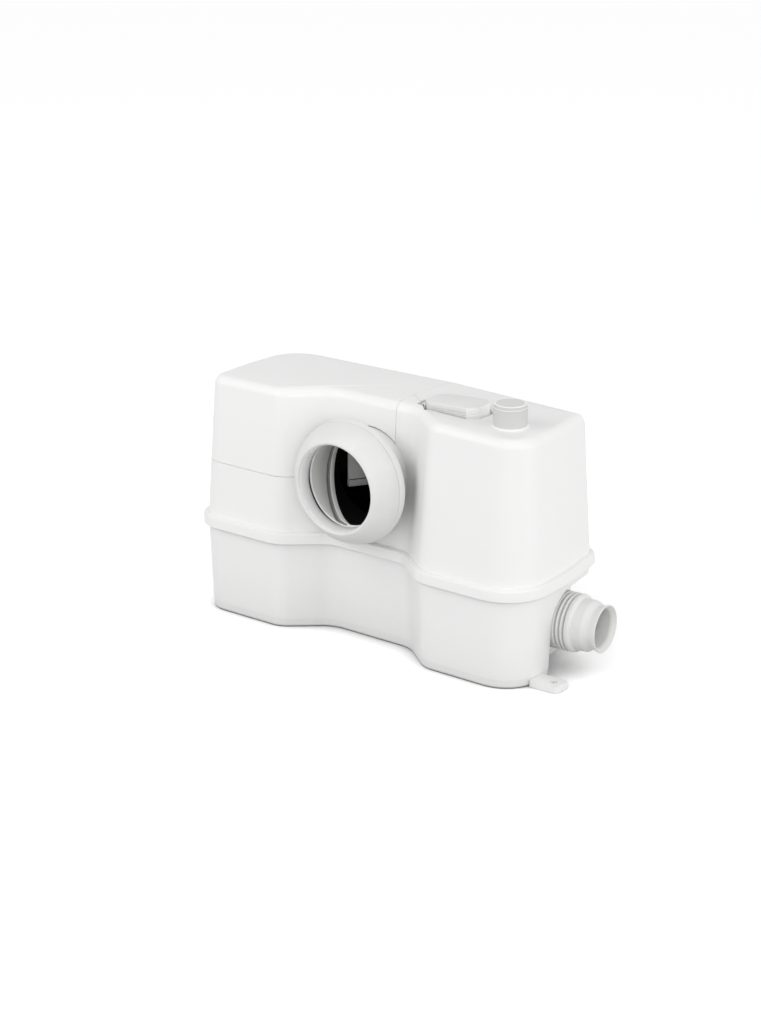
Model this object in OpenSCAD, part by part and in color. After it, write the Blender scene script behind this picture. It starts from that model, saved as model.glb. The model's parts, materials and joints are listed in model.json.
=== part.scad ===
// Macerator toilet pump: a white moulded tank that stands behind a toilet pan, takes its
// outlet in a rubber collar, and holds a motor, a grinder pump and a non-return valve.
// Millimetres. +Z is up, -Y is the side that faces the pan, +X is the side inlet's end.
// The origin is on the floor, half way between the two floor screws.

/* [Body outline] */
// Origin to the left end of the body, at the flange
body_left = 200; // [195:1:206]
// How far the left end bows out
left_bow = 4; // [2:1:8]
// Origin to the right end of the body, at the flange
body_right = 203; // [199:1:207]
// How far the right end leans in towards the back
right_lean = 12; // [9:1:15]
// Origin to the back of the body, at the flange
body_back = 84; // [80:1:88]
// Origin to the front face of the left lobe
front_left = 73; // [70:1:78]
// Origin to the front face of the right lobe
front_right = 69; // [66:1:74]
// Origin to the recessed front face behind the collar
front_waist = 37; // [36:0.5:39]
// Left lobe's front face ends this far left of the origin
left_lobe_end = 96; // [92:1:100]
// Recessed face begins this far left of the origin
waist_left = 52; // [48:1:56]
// Recessed face ends this far right of the origin
waist_right = 45; // [44:1:48]
// Right lobe's front face begins this far right of the origin
right_lobe_start = 85; // [82:1:90]
// Corner radius at the back right
back_right_r = 16; // [12:1:22]
// Corner radius at the back left
back_left_r = 48; // [40:1:52]
// Corner radius at the front left
front_left_r = 26; // [22:1:32]
// Corner radius at the front right
front_right_r = 42; // [34:1:46]
// Radius of the bends beside the recess
bend_r = 32; // [26:1:38]

/* [Body heights] */
// Room between the motor's top and the body's flat top
roof_room = 14; // [12.5:0.5:18]
// Underside of the band round the middle
band_z = 95; // [90:1:98]
// Height of the band
band_h = 12.5; // [11:0.5:14]
// How far the band stands out of the wall
band_out = 5.5; // [5:0.5:7]
// Deck that carries the motor, and lower edge of the motor cover
deck_z = 166; // [162:1:168]
// Right-hand edge of the motor cover
split_x = 24; // [20:1:28]
// Draft of the walls above the band, in degrees
upper_draft = 3.5; // [3:0.1:4]
// Draft of the walls below the band, in degrees
lower_draft = 2.2; // [1.5:0.1:3]
// Radius of the upper edge
top_r = 10; // [8:1:13]
// Radius of the lower edge
base_r = 3; // [2:0.5:5]
// Fall of the roof from the cover's edge to the right end
roof_fall_right = 4.5; // [2:0.5:6]
// Fall of the roof from the cover's edge to the left end
roof_fall_left = 3.5; // [2:0.5:6]
// Fall of the roof from front to back
roof_fall_back = 2.5; // [0:0.5:4]
// Rise of the roof's middle above its edges
roof_crown = 1.5; // [1:0.5:3]

/* [Walls and fits] */
// Tank wall
tank_wall = 4; // [3.5:0.1:4.5]
// Motor cover wall
cover_wall = 3; // [2.5:0.1:3.4]
// Gap between mouldings that meet
fit_gap = 0.4; // [0.2:0.1:0.6]
// Radial gap of parts pushed into one another
push_gap = 0.1; // [0.05:0.05:0.2]
// Radial gap of a turning fit
run_gap = 0.05; // [0.02:0.01:0.08]
// Thickness of the flange seal
seal_t = 2; // [1.5:0.5:3]

/* [Toilet inlet] */
// Inlet axis, right of the origin
inlet_x = -8; // [-10:1:-6]
// Inlet axis above the floor
inlet_z = 178; // [176:1:180]
// Bore of the rubber collar
inlet_bore_d = 88; // [85:1:88]
// Outside diameter of the tank's inlet neck
neck_d = 100; // [99.5:0.5:102]
// Largest diameter of the collar
collar_d = 128.6; // [126:0.2:132]
// Front of the collar, forward of the origin
collar_front = 90; // [88:1:94]
// Back of the collar, forward of the origin
collar_back = 56; // [54:1:58]

/* [Side inlet] */
// Side inlet axis behind the origin
side_y = 22.5; // [20:0.5:25]
// Side inlet axis above the floor
side_z = 51; // [47:1:52]
// Turn of the side inlet towards the back, in degrees
side_turn = 4.5; // [3:0.5:6]
// Wall that carries the side inlet, right of the origin
recess_x = 170; // [168:1:172]
// Front edge of the side recess, in front of the side inlet axis
recess_front = 30.8; // [30.6:0.1:32]
// Height of the side recess
recess_h = 85; // [83:1:86]
// Bore of the side sleeve
side_bore_d = 40; // [38:0.5:40]
// Largest diameter of the side sleeve
side_d = 60; // [59:0.5:60.5]
// Diameter of the side sleeve's open end
side_lip_d = 49.4; // [48.4:0.2:50]
// Length of the side sleeve from the recess wall
side_len = 73; // [72:0.5:76]
// Number of folds in the side sleeve
side_folds = 3; // [2:1:4]

/* [Floor lugs] */
// Floor screw, right and left of the origin
lug_x = 219.5; // [217:0.5:224]
// Floor screw, in front and behind the origin
lug_y = 28; // [24:1:34]
// Width of a lug
lug_w = 21; // [18:1:26]
// Thickness of a lug
lug_t = 7.5; // [5:0.5:9]
// Floor screw hole
lug_hole_d = 7; // [5:0.5:8]

/* [Top fittings] */
// Discharge neck, right of the origin
outlet_x = 152; // [148:1:155]
// Discharge neck, behind the origin
outlet_y = -15; // [-19:1:-11]
// Outside diameter of the discharge neck
outlet_d = 33.6; // [33.6:0.2:36]
// Height of the discharge neck above the body's top
outlet_h = 16.3; // [14:0.1:22]
// Thickness of the cap on the discharge neck
cap_t = 4.7; // [4:0.1:6]
// Middle of the vent box, right of the origin
vent_x = 83; // [80:1:86]
// Middle of the vent box, behind the origin
vent_y = -6; // [-9:1:-3]
// Length of the vent lid
vent_l = 64; // [60:1:66]
// Width of the vent lid
vent_w = 38; // [36:1:40]
// Height of the vent lid's hinged end above its pocket
vent_h = 11.5; // [11:0.5:12.5]
// Rise of the vent lid towards its free end
vent_rise = 4; // [2:0.5:5]
// Depth of the pocket round the vent lid
pocket_d = 4.5; // [3:0.5:5]

/* [Motor and pump] */
// Motor shaft, left of the origin
motor_x = 126; // [125:0.5:127]
// Motor shaft, in front of the origin
motor_y = 4; // [3:0.5:5]
// Outside diameter of the motor can
can_d = 86; // [82:1:87]
// Height of the motor can
can_h = 75; // [74:1:80]
// Outside diameter of the pump casing
pump_d = 80; // [76:1:82]
// Underside of the grinder ring above the floor
grinder_z = 20; // [19:1:23]
// Outside diameter of the discharge pipe
pipe_d = 28; // [26:1:28]
// Wall of the discharge pipe
pipe_wall = 3; // [2.5:0.5:3.5]
// Vanes on the impeller
vanes = 5; // [4:1:7]
// Teeth in the grinder ring
ring_teeth = 12; // [8:1:16]
// Arms on the grinder head
grinder_arms = 3; // [2:1:4]

/* [Hidden] */
$fn = 64;

// Colours
shell_white = [0.93, 0.93, 0.92];
rubber_white = [0.88, 0.88, 0.86];
inner_grey = [0.45, 0.45, 0.45];
black_plastic = [0.08, 0.08, 0.08];
steel = [0.7, 0.71, 0.72];
aluminium = [0.75, 0.76, 0.77];
copper = [0.72, 0.42, 0.2];
board_green = [0.1, 0.35, 0.18];

// Heights that follow from the inlet, the motor and the deck
neck_r = neck_d / 2;
turret_wall = 3;
turret_top = inlet_z + neck_r + turret_wall + 2;
plate_t = 5;
box_h = 11;
lid_t = 2;
body_h = max(deck_z + plate_t + can_h, turret_top + box_h + lid_t) + roof_room;
band_top = band_z + band_h;
skirt_t = 3;
rim_h = 4;
rim_z = band_z + band_h / 2;
deck_t = 4;
cover_low = deck_z + fit_gap;
roof_z = body_h - tank_wall;
cap_centre = [-5, 25];
roof_front = -25;

// Inset of the outside wall at height z, above and below the band
function upper_inset(z) = max(0, z - band_top) * tan(upper_draft);
// Fall of the roof at a point, right and left of the motor cover's edge
fall_back = roof_fall_back / 100;
fall_right = roof_fall_right / (body_right - split_x);
fall_left = -roof_fall_left / (body_left + split_x);
function roof_fall(p, slope) = slope * (p.x - split_x) + fall_back * (p.y - roof_front);
function roof_at(x, y) = body_h - roof_fall([x, y], fall_right);
function lower_inset(z) = max(0, band_z - z) * tan(lower_draft);

// Outline of the body seen from above: corners, their radii and the steps in each
corners = [
  [body_right - right_lean, body_back], [-body_left, body_back], [-body_left - left_bow, 0],
  [-body_left, -front_left], [-left_lobe_end, -front_left], [-waist_left, -front_waist],
  [waist_right, -front_waist], [right_lobe_start, -front_right], [body_right, -front_right],
  [body_right - right_lean / 6, 10]
];
bow_r = 160;
corner_r = [
  back_right_r, back_left_r, bow_r, front_left_r, bend_r, bend_r, bend_r, bend_r, front_right_r,
  bow_r
];
corner_steps = [4, 8, 3, 6, 6, 6, 6, 6, 8, 3];

function unit(v) = v / norm(v);
function left_of(d) = [-d.y, d.x];
function wrap(list, i) = list[(i + len(list)) % len(list)];
function turn_at(list, i) =
  let (a = unit(list[i] - wrap(list, i - 1)), b = unit(wrap(list, i + 1) - list[i]))
  atan2(cross(a, b), a * b);
function inset_corner(list, i, e) =
  let (a = left_of(unit(list[i] - wrap(list, i - 1))), b = left_of(unit(wrap(list, i + 1) - list[i])))
  list[i] + e * (a + b) / (1 + a * b);
function round_corner(before, at, after, r, steps) =
  let (
    a = unit(at - before), b = unit(after - at), turn = atan2(cross(a, b), a * b),
    start = at - a * r * tan(abs(turn) / 2), centre = start + sign(turn) * r * left_of(a),
    arm = start - centre
  )
  [for (i = [0:steps]) let (t = turn * i / steps)
    centre + [arm.x * cos(t) - arm.y * sin(t), arm.x * sin(t) + arm.y * cos(t)]];
function rounded(list, radii, steps) =
  [for (i = [0:len(list) - 1])
    each round_corner(wrap(list, i - 1), list[i], wrap(list, i + 1), radii[i], steps[i])];
function outline(e) = rounded(
  [for (i = [0:len(corners) - 1]) inset_corner(corners, i, e)],
  [for (i = [0:len(corners) - 1]) max(1, corner_r[i] - sign(turn_at(corners, i)) * e)],
  corner_steps
);
function rounded_box(lo, hi, r, steps) = rounded(
  [[hi.x, hi.y], [lo.x, hi.y], [lo.x, lo.y], [hi.x, lo.y]], [r, r, r, r], [steps, steps, steps, steps]
);

// Closed solid through the body's outline at each [inset, height] of a path
module skin(path, slope = 0) {
  function drop(p, z) = slope == 0 ? 0 : roof_fall(p, slope) * max(0, z - deck_z) / (body_h - deck_z);
  rings = [for (level = path) [for (p = outline(level[0])) [p.x, p.y, level[1] - drop(p, level[1])]]];
  n = len(rings[0]);
  last = len(path) - 1;
  first_end = n * len(path);
  points = concat(
    [for (ring = rings) each ring],
    [for (z = [path[0][1], path[last][1]])
      [cap_centre.x, cap_centre.y, z - drop(cap_centre, z) + (slope == 0 ? 0 : roof_crown)]]
  );
  sides = [for (k = [0:last - 1]) for (i = [0:n - 1])
    let (a = k * n + i, b = k * n + (i + 1) % n)
    each [[a, a + n, b], [b, a + n, b + n]]];
  ends = [for (i = [0:n - 1])
    each [[first_end, i, (i + 1) % n], [first_end + 1, last * n + (i + 1) % n, last * n + i]]];
  polyhedron(points = points, faces = concat(sides, ends));
}

module along_y() { rotate([90, 0, 0]) children(); }
module along_x() { rotate([0, 90, 0]) children(); }
module ring(r_out, r_in, h) {
  difference() {
    cylinder(r = r_out, h = h);
    translate([0, 0, -1]) cylinder(r = r_in, h = h + 2);
  }
}

// Rounded upper edge of a moulding whose roof is wall thinner than the outside, from roof to wall
edge_steps = [0, 30, 60, 90];
function roof_edge(wall) = [for (a = edge_steps)
  [upper_inset(body_h - top_r) + top_r - (top_r - wall) * sin(a), body_h - top_r + (top_r - wall) * cos(a)]];
function reversed(list) = [for (i = [len(list) - 1:-1:0]) list[i]];

// Lower tank: the bath that stands on the floor, with a recess for the side inlet
rim_out = band_out - skirt_t - fit_gap;
neck_side_wall = 3;
side_neck_r = side_bore_d / 2 + 5;
side_neck_l = 22;
plinth_h = 8.5;
plinth_in = 0.4;
lug_tip = lug_x + 10;
lower_path = concat(
  [for (a = edge_steps) [lower_inset(0) + plinth_in + base_r * (1 - sin(a)), base_r * (1 - cos(a))]],
  [[lower_inset(plinth_h) + plinth_in, plinth_h], [lower_inset(plinth_h), plinth_h + 0.6]],
  [[0, band_z], [0, rim_z - rim_h], [-rim_out, rim_z - rim_h + 1], [-rim_out, rim_z], [tank_wall, rim_z]],
  [[tank_wall, band_z], [lower_inset(0) + tank_wall, base_r + tank_wall],
   [lower_inset(0) + tank_wall + 2, tank_wall + 1.5], [lower_inset(0) + tank_wall + 6, tank_wall]]
);
module floor_lug(wall_x) {
  difference() {
    linear_extrude(lug_t)
      polygon(rounded_box([wall_x - tank_wall, -lug_y - lug_w / 2], [lug_tip, -lug_y + lug_w / 2], 2.5, 4));
    translate([lug_x, -lug_y, -1]) cylinder(d = lug_hole_d, h = lug_t + 2);
  }
}
module at_side() { translate([recess_x, side_y, 0]) rotate([0, 0, side_turn]) children(); }
module side_recess(grow, high) {
  front = -recess_front - grow;
  r = recess_h - side_z + grow;
  at_side() translate([-grow, 0, 0]) rotate([90, 0, 90]) linear_extrude(2 * body_right) polygon(concat(
    [[front, -1]],
    [for (a = [180:-10:90]) [front + r + r * cos(a), high - r + r * sin(a)]],
    [[front + 2 * body_back, high], [front + 2 * body_back, -1]]
  ));
}
module lower_tank() {
  color(shell_white) difference() {
    union() {
      skin(lower_path);
      floor_lug(body_right - lower_inset(0));
      rotate([0, 0, 180]) floor_lug(body_left - lower_inset(0));
      intersection() {
        skin([[lower_inset(0) + tank_wall / 2 + 1, tank_wall / 2], [tank_wall / 2, band_z]]);
        side_recess(tank_wall, recess_h + tank_wall);
      }
      at_side() translate([-tank_wall / 2, 0, side_z]) along_x()
        cylinder(r = side_neck_r, h = side_neck_l + tank_wall / 2);
    }
    difference() {
      side_recess(0, recess_h);
      at_side() translate([-tank_wall, 0, side_z]) along_x()
        cylinder(r = side_neck_r, h = side_neck_l + tank_wall);
    }
    at_side() translate([-2 * tank_wall, 0, side_z]) along_x()
      cylinder(r = side_neck_r - neck_side_wall, h = side_neck_l + 3 * tank_wall);
  }
}

// Flat seal between the two halves of the tank
seal_out = 1.5;
seal_in = 2.5;
module tank_seal() {
  color(black_plastic) translate([0, 0, rim_z]) linear_extrude(seal_t) difference() {
    polygon(outline(-seal_out));
    polygon(outline(seal_in));
  }
}

// Upper tank: full height at the right, an inlet turret in the middle, a motor deck at the left
neck_wall = 3;
neck_front = collar_back + 12;
turret_left = 64;
turret_clear = 1.5;
turret_front = front_waist - upper_inset(turret_top) - cover_wall - turret_clear;
turret_back = body_back - upper_inset(turret_top) - cover_wall - turret_clear;
turret_r = 10;
deck_hole_r = pump_d / 2 + 3;
outlet_wall = 2.6;
outlet_r = outlet_d / 2;
outlet_drop = 20;
outlet_foot = roof_at(outlet_x, outlet_y) - tank_wall / 2;
filter_r = 12;
filter_wall = 2.5;
filter_ledge = 4;
filter_h = 30;
pocket_z = roof_at(vent_x, vent_y) - pocket_d;
pocket_edge = 3;
pocket_left = 9;
filter_top = pocket_z + 2;
filter_low = filter_top - filter_h;
lip_in = cover_wall + fit_gap;
lip_t = 2;
lip_h = 4;
gland_x = -130;
gland_z = deck_z + 11;
gland_r = 9;
bracket_w = 30;
bracket_y = body_back - upper_inset(gland_z) - cover_wall - 6;
bracket_t = 3;
bracket_h = gland_z - deck_z + gland_r + 4;
level_x = -172.5;
level_y = -45.5;
level_r = 9;
ear_pos = can_d / 2 + 8;
screw_r = 2.4;
screw_fit = 0.2;
pipe_r = pipe_d / 2;
upper_path = concat(
  roof_edge(tank_wall),
  [[tank_wall, band_top], [tank_wall, rim_z + seal_t], [skirt_t - band_out, rim_z + seal_t],
   [skirt_t - band_out, band_z], [0.8 - band_out, band_z], [-band_out, band_z + 0.8],
   [-band_out, band_top - 3], [0.9 - band_out, band_top - 0.9], [3 - band_out, band_top], [0, band_top]],
  reversed(roof_edge(0))
);
module at_motor() { translate([-motor_x, -motor_y, 0]) children(); }
module ear_ring(angles = [0, 90, 180, 270]) {
  for (a = angles) rotate([0, 0, a]) translate([ear_pos, 0, 0]) children();
}
module end_wall() {
  front_low = tank_wall / 2 - front_waist + upper_inset(deck_z - deck_t);
  front_high = tank_wall / 2 - front_waist + upper_inset(body_h - top_r);
  back_low = body_back - upper_inset(deck_z - deck_t) - tank_wall / 2;
  back_high = body_back - upper_inset(body_h - top_r) - tank_wall / 2;
  edge = body_h - top_r - roof_fall_back;
  translate([split_x, 0, 0]) rotate([90, 0, 90]) linear_extrude(tank_wall) polygon([
    [front_low, deck_z - deck_t], [back_low, deck_z - deck_t], [back_high, edge],
    [back_high - top_r / 2, roof_at(split_x, back_high) - tank_wall / 2],
    [front_high + top_r / 2, roof_at(split_x, front_high + top_r) - tank_wall / 2],
    [front_high, edge]
  ]);
}
module deck() {
  intersection() {
    translate([0, 0, deck_z - deck_t]) linear_extrude(deck_t) polygon(outline(upper_inset(deck_z) + tank_wall / 2));
    translate([-2 * body_left, -2 * body_back, 0]) cube([2 * body_left + split_x + tank_wall / 2, 4 * body_back, body_h]);
  }
}
module deck_lip() {
  start = upper_inset(deck_z) + lip_in;
  intersection() {
    translate([0, 0, deck_z - 1]) linear_extrude(lip_h + 1) difference() {
      polygon(outline(start));
      polygon(outline(start + lip_t));
    }
    translate([-2 * body_left, -2 * body_back, 0]) cube([2 * body_left - turret_left - 4, 4 * body_back, body_h]);
  }
}
module turret(grow, low, right) {
  translate([0, 0, low]) linear_extrude(turret_top - low + min(0, grow))
    polygon(rounded_box([-turret_left - grow, -turret_front - grow], [right, turret_back + grow],
                        turret_r + grow, 4));
}
module pocket_plan(grow) {
  size = 2 * (pocket_edge + grow);
  translate([vent_x, vent_y]) {
    polygon(octagon(vent_l + size, vent_w + size, lid_chamfer + 1));
    translate([-vent_l / 2 - pocket_left - grow, -knuckle_l / 2 - ear_l - 2 - grow])
      square([vent_l / 2, knuckle_l + 2 * ear_l + 4 + 2 * grow]);
  }
}
module upper_tank() {
  color(shell_white) difference() {
    union() {
      difference() {
        skin(upper_path, fall_right);
        translate([-2 * body_left, -2 * body_back, deck_z])
          cube([2 * body_left + split_x, 4 * body_back, body_h]);
      }
      end_wall();
      deck();
      deck_lip();
      turret(0, deck_z - deck_t, split_x + tank_wall / 2);
      translate([inlet_x, -turret_front + turret_wall / 2, inlet_z]) along_y()
        cylinder(r = neck_r, h = neck_front - turret_front + turret_wall / 2);
      translate([outlet_x, outlet_y, body_h - outlet_drop])
        cylinder(r = outlet_r + 1, h = outlet_drop - body_h + outlet_foot + 0.5);
      translate([outlet_x, outlet_y, outlet_foot]) cylinder(r = outlet_r, h = body_h + outlet_h - outlet_foot);
      translate([outlet_x, outlet_y, outlet_foot])
        cylinder(r1 = outlet_r + 5, r2 = outlet_r - 0.5, h = tank_wall / 2 + 2.5);
      translate([vent_x, vent_y, filter_low - filter_ledge])
        cylinder(r = filter_r + filter_wall, h = pocket_z - tank_wall / 2 - filter_low + filter_ledge);
      translate([0, 0, pocket_z - turret_wall]) linear_extrude(pocket_d + turret_wall - tank_wall / 2)
        pocket_plan(turret_wall);
      translate([gland_x - bracket_w / 2, bracket_y - bracket_t, deck_z - 1])
        cube([bracket_w, bracket_t, bracket_h + 1]);
    }
    turret(-turret_wall, deck_z - deck_t - 1, split_x + 2 * tank_wall);
    translate([inlet_x, -turret_front + 2 * turret_wall, inlet_z]) along_y()
      cylinder(r = neck_r - neck_wall, h = neck_front);
    translate([outlet_x, outlet_y, body_h - outlet_drop - 1])
      cylinder(r = outlet_r - outlet_wall, h = outlet_drop + outlet_h + 2);
    translate([0, 0, pocket_z]) linear_extrude(2 * pocket_d + roof_fall_right) pocket_plan(0);
    translate([vent_x, vent_y, filter_low]) cylinder(r = filter_r + fit_gap, h = filter_h);
    translate([vent_x, vent_y, filter_low - filter_ledge - 1]) cylinder(r = filter_r - 5, h = filter_ledge + 2);
    at_motor() translate([0, 0, deck_z - deck_t - 1]) {
      cylinder(r = deck_hole_r, h = deck_t + 2);
      ear_ring() cylinder(r = screw_r + screw_fit, h = deck_t + 2);
    }
    translate([level_x, level_y, deck_z - deck_t - 1]) cylinder(r = level_r + push_gap, h = deck_t + 2);
    translate([gland_x, body_back, gland_z]) along_y()
      cylinder(r = gland_r + push_gap, h = body_back - bracket_y + bracket_t + 1);
  }
}

// Motor cover: lifts straight up off the deck, with a slot that passes the inlet neck
slot_gap = 1;
notch_gap = 1;
cover_path = concat(
  roof_edge(cover_wall),
  [[upper_inset(cover_low) + cover_wall, cover_low], [upper_inset(cover_low), cover_low]],
  reversed(roof_edge(0))
);
module motor_cover() {
  color(shell_white) difference() {
    skin(cover_path, fall_left);
    translate([split_x - fit_gap, -2 * body_back, 0]) cube([2 * body_right, 4 * body_back, 2 * body_h]);
    translate([inlet_x, 0, inlet_z]) {
      along_y() cylinder(r = neck_r + slot_gap, h = 2 * front_left);
      translate([-neck_r - slot_gap, -2 * front_left, -inlet_z])
        cube([2 * (neck_r + slot_gap), 2 * front_left, inlet_z]);
    }
    translate([gland_x, body_back + 1, gland_z]) {
      along_y() cylinder(r = gland_r + notch_gap, h = body_back - bracket_y + 1);
      translate([-gland_r - notch_gap, bracket_y - body_back - 1, -gland_z])
        cube([2 * (gland_r + notch_gap), body_back - bracket_y + 1, gland_z]);
    }
  }
}

// Rubber collar over and inside the inlet neck, and the band that clamps its tail
bore_r = inlet_bore_d / 2;
collar_r = collar_d / 2;
rim_w = 10;
tail_r = neck_r + 4;
tail_l = 8;
crest_r = bore_r + 3.5;
crest_l = collar_front - collar_back - rim_w;
lip_back = collar_front - 16;
neck_grip = push_gap * 2;
sleeve_r = neck_r - neck_wall - neck_grip;
sleeve_back = collar_back - 24;
bell_steps = [0:10:90];
bell_power = 1.5;
collar_profile = concat(
  [[neck_r + neck_grip, collar_back - tail_l], [tail_r, collar_back - tail_l], [tail_r, collar_back],
   [collar_r - 1, collar_back], [collar_r, collar_back + 1], [collar_r, collar_back + rim_w - 1.2],
   [collar_r - 0.5, collar_back + rim_w - 0.8], [collar_r - 0.5, collar_back + rim_w - 0.2]],
  [for (a = bell_steps) [
    crest_r + (collar_r - crest_r) * pow(cos(a), bell_power),
    collar_front - crest_l + crest_l * pow(sin(a), bell_power)
  ]],
  [[crest_r - 1.6, collar_front - 0.5], [crest_r - 2.8, collar_front - 2.2], [bore_r, collar_front - 5],
   [bore_r, lip_back], [bore_r + 1, lip_back - 0.8], [sleeve_r - 1.8, lip_back - 2],
   [sleeve_r - 1.8, sleeve_back + 12], [sleeve_r - 0.6, sleeve_back + 11], [sleeve_r - 0.6, sleeve_back + 6.5],
   [sleeve_r - 2.4, sleeve_back + 6], [sleeve_r - 2.4, sleeve_back + 1], [sleeve_r - 1.8, sleeve_back],
   [sleeve_r, sleeve_back], [sleeve_r, neck_front + neck_grip], [neck_r + neck_grip, neck_front + neck_grip]]
);
module at_inlet() { translate([inlet_x, 0, inlet_z]) along_y() children(); }
module inlet_collar() {
  color(rubber_white) at_inlet() rotate_extrude($fn = 96) polygon(collar_profile);
}
clamp_w = 6;
clamp_t = 1.4;
module inlet_band() {
  color(steel) at_inlet() translate([0, 0, collar_back - tail_l + 1]) {
    ring(tail_r + push_gap + clamp_t, tail_r + push_gap, clamp_w);
    rotate([0, 0, 225]) translate([tail_r + push_gap + clamp_t / 2, -4, 0]) cube([5, 8, clamp_w]);
  }
}

// Rubber sleeve of the side inlet: folds, then two steps down to a flared lip
sleeve_start = 1;
fold_start = 29.3;
fold_pitch = 4.65;
fold_gap = 2;
fold_depth = 3;
side_r = side_d / 2;
lip_r = side_lip_d / 2;
grip_r = side_bore_d / 2;
hollow_r = side_neck_r - neck_side_wall;
fold_end = fold_start + (side_folds - 1) * fold_pitch + fold_gap;
socket_end = side_neck_l + 0.6;
step_r = side_r - 3.6;
sleeve_profile = concat(
  [[side_neck_r + neck_grip, sleeve_start], [side_r - 1, sleeve_start], [side_r, sleeve_start + 1]],
  [for (i = [0:side_folds - 1]) let (x = fold_start + i * fold_pitch)
    each [[side_r, x - 0.6], [side_r - 0.6, x], [side_r - fold_depth, x], [side_r - fold_depth, x + fold_gap],
          [side_r - 0.6, x + fold_gap], [side_r, x + fold_gap + 0.6]]],
  [[side_r - 0.2, fold_end + 3.4], [side_r - 1.2, fold_end + 5.2], [step_r + 0.4, fold_end + 6.4],
   [step_r, fold_end + 7.9], [step_r - 0.2, fold_end + 17.5], [step_r - 1.3, fold_end + 19.5],
   [lip_r - 2, side_len - 10.3], [lip_r - 2.2, side_len - 8], [lip_r - 0.8, side_len - 4], [lip_r, side_len - 1],
   [lip_r - 0.4, side_len], [lip_r - 1.6, side_len], [grip_r + 0.6, side_len - 4], [grip_r, side_len - 6],
   [grip_r, side_len - 20], [hollow_r, side_len - 24], [hollow_r, socket_end], [side_neck_r + neck_grip, socket_end]]
);
module side_sleeve() {
  color(rubber_white) at_side() translate([0, 0, side_z]) along_x() rotate_extrude() polygon(sleeve_profile);
}

// Baffle that hangs in the turret and turns the incoming flow away from the pump
baffle_at = [-58.1, -0.7];
baffle_turn = 57;
baffle_l = 56.4;
baffle_t = 3;
baffle_low = 145;
baffle_rim_h = 7;
baffle_rim = 1.2;
module splash_baffle() {
  top = turret_top - turret_wall;
  color(inner_grey) translate([baffle_at.x, baffle_at.y, 0]) rotate([0, 0, baffle_turn]) {
    translate([0, 0, baffle_low]) cube([baffle_l, baffle_t, top - baffle_low]);
    translate([0, -baffle_rim, baffle_low]) cube([baffle_l, baffle_t + 2 * baffle_rim, baffle_rim_h]);
  }
}

// Vent box in a pocket of the roof: a frame, a hinged lid with slots, its pin, and the filter below
lid_wall = 2;
lid_low = pocket_z + 1.2;
lid_chamfer = 9;
frame_gap = 2.8;
hinge_out = 2;
hinge_x = vent_x - vent_l / 2 - hinge_out;
hinge_z = pocket_z + 5.5;
pin_r = 1.2;
knuckle_r = 2.2;
knuckle_l = 16;
ear_l = 3;
ear_r = 1.9;
ear_gap = 0.3;
frame_plate = 0.8;
frame_h = 5;
function octagon(lx, ly, c) = [
  [lx / 2, ly / 2 - c], [lx / 2 - c, ly / 2], [c - lx / 2, ly / 2], [-lx / 2, ly / 2 - c],
  [-lx / 2, c - ly / 2], [c - lx / 2, -ly / 2], [lx / 2 - c, -ly / 2], [lx / 2, c - ly / 2]
];
module vent_frame() {
  wall_l = vent_l - 2 * lid_wall - 2 * frame_gap;
  wall_w = vent_w - 2 * lid_wall - 1;
  color(shell_white) difference() {
    union() {
      translate([vent_x, vent_y, pocket_z]) {
        linear_extrude(frame_plate) polygon(octagon(vent_l, vent_w, lid_chamfer));
        linear_extrude(frame_h) polygon(octagon(wall_l, wall_w, lid_chamfer - 1));
      }
      for (s = [-1, 1])
        translate([hinge_x, vent_y + s * (knuckle_l / 2 + ear_l / 2 + ear_gap) + ear_l / 2, 0]) {
          translate([0, 0, hinge_z]) along_y() cylinder(r = ear_r, h = ear_l);
          translate([-ear_r, -ear_l, pocket_z]) cube([ear_r + 1.6, ear_l, hinge_z - pocket_z]);
        }
      translate([hinge_x - ear_r, vent_y - knuckle_l / 2 - ear_gap - ear_l, pocket_z])
        cube([hinge_out + 5, knuckle_l + 2 * (ear_gap + ear_l), frame_plate]);
    }
    translate([vent_x, vent_y, pocket_z - 1]) cylinder(r = filter_r + fit_gap, h = frame_h + 2);
    translate([hinge_x, vent_y + vent_w / 2, hinge_z]) along_y() cylinder(r = pin_r + run_gap, h = vent_w);
  }
}
slot_h = 1.4;
slot_l = 40;
module lid_side(trim, low) {
  half = vent_l / 2 + 1;
  top_left = pocket_z + vent_h - vent_rise / vent_l - trim;
  translate([vent_x, vent_y + vent_w, 0]) along_y() linear_extrude(2 * vent_w)
    polygon([[-half, low], [half, low], [half, top_left + vent_rise], [-half, top_left]]);
}
module vent_lid() {
  color(shell_white) difference() {
    union() {
      intersection() {
        lid_side(0, lid_low);
        translate([vent_x, vent_y, lid_low - 1]) linear_extrude(2 * vent_h) polygon(octagon(vent_l, vent_w, lid_chamfer));
      }
      translate([hinge_x, vent_y + knuckle_l / 2, hinge_z]) along_y() cylinder(r = knuckle_r, h = knuckle_l);
      translate([hinge_x, vent_y - knuckle_l / 2, hinge_z]) cube([hinge_out + 1, knuckle_l, knuckle_r]);
    }
    intersection() {
      lid_side(lid_wall, lid_low - 1);
      translate([vent_x, vent_y, lid_low - 2]) linear_extrude(2 * vent_h)
        polygon(octagon(vent_l - 2 * lid_wall, vent_w - 2 * lid_wall, lid_chamfer - 1));
    }
    for (z = [pocket_z + 3.4, pocket_z + 6.2])
      translate([vent_x - slot_l / 2, vent_y - vent_w / 2 - 1, z]) cube([slot_l, lid_wall + 2, slot_h]);
    translate([hinge_x, vent_y + vent_w, hinge_z]) along_y() cylinder(r = pin_r + run_gap, h = 2 * vent_w);
  }
}
module vent_hinge_pin() {
  l = knuckle_l + 2 * ear_l + 2 * ear_gap;
  color(steel) translate([hinge_x, vent_y + l / 2, hinge_z]) along_y() cylinder(r = pin_r, h = l);
}
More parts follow.
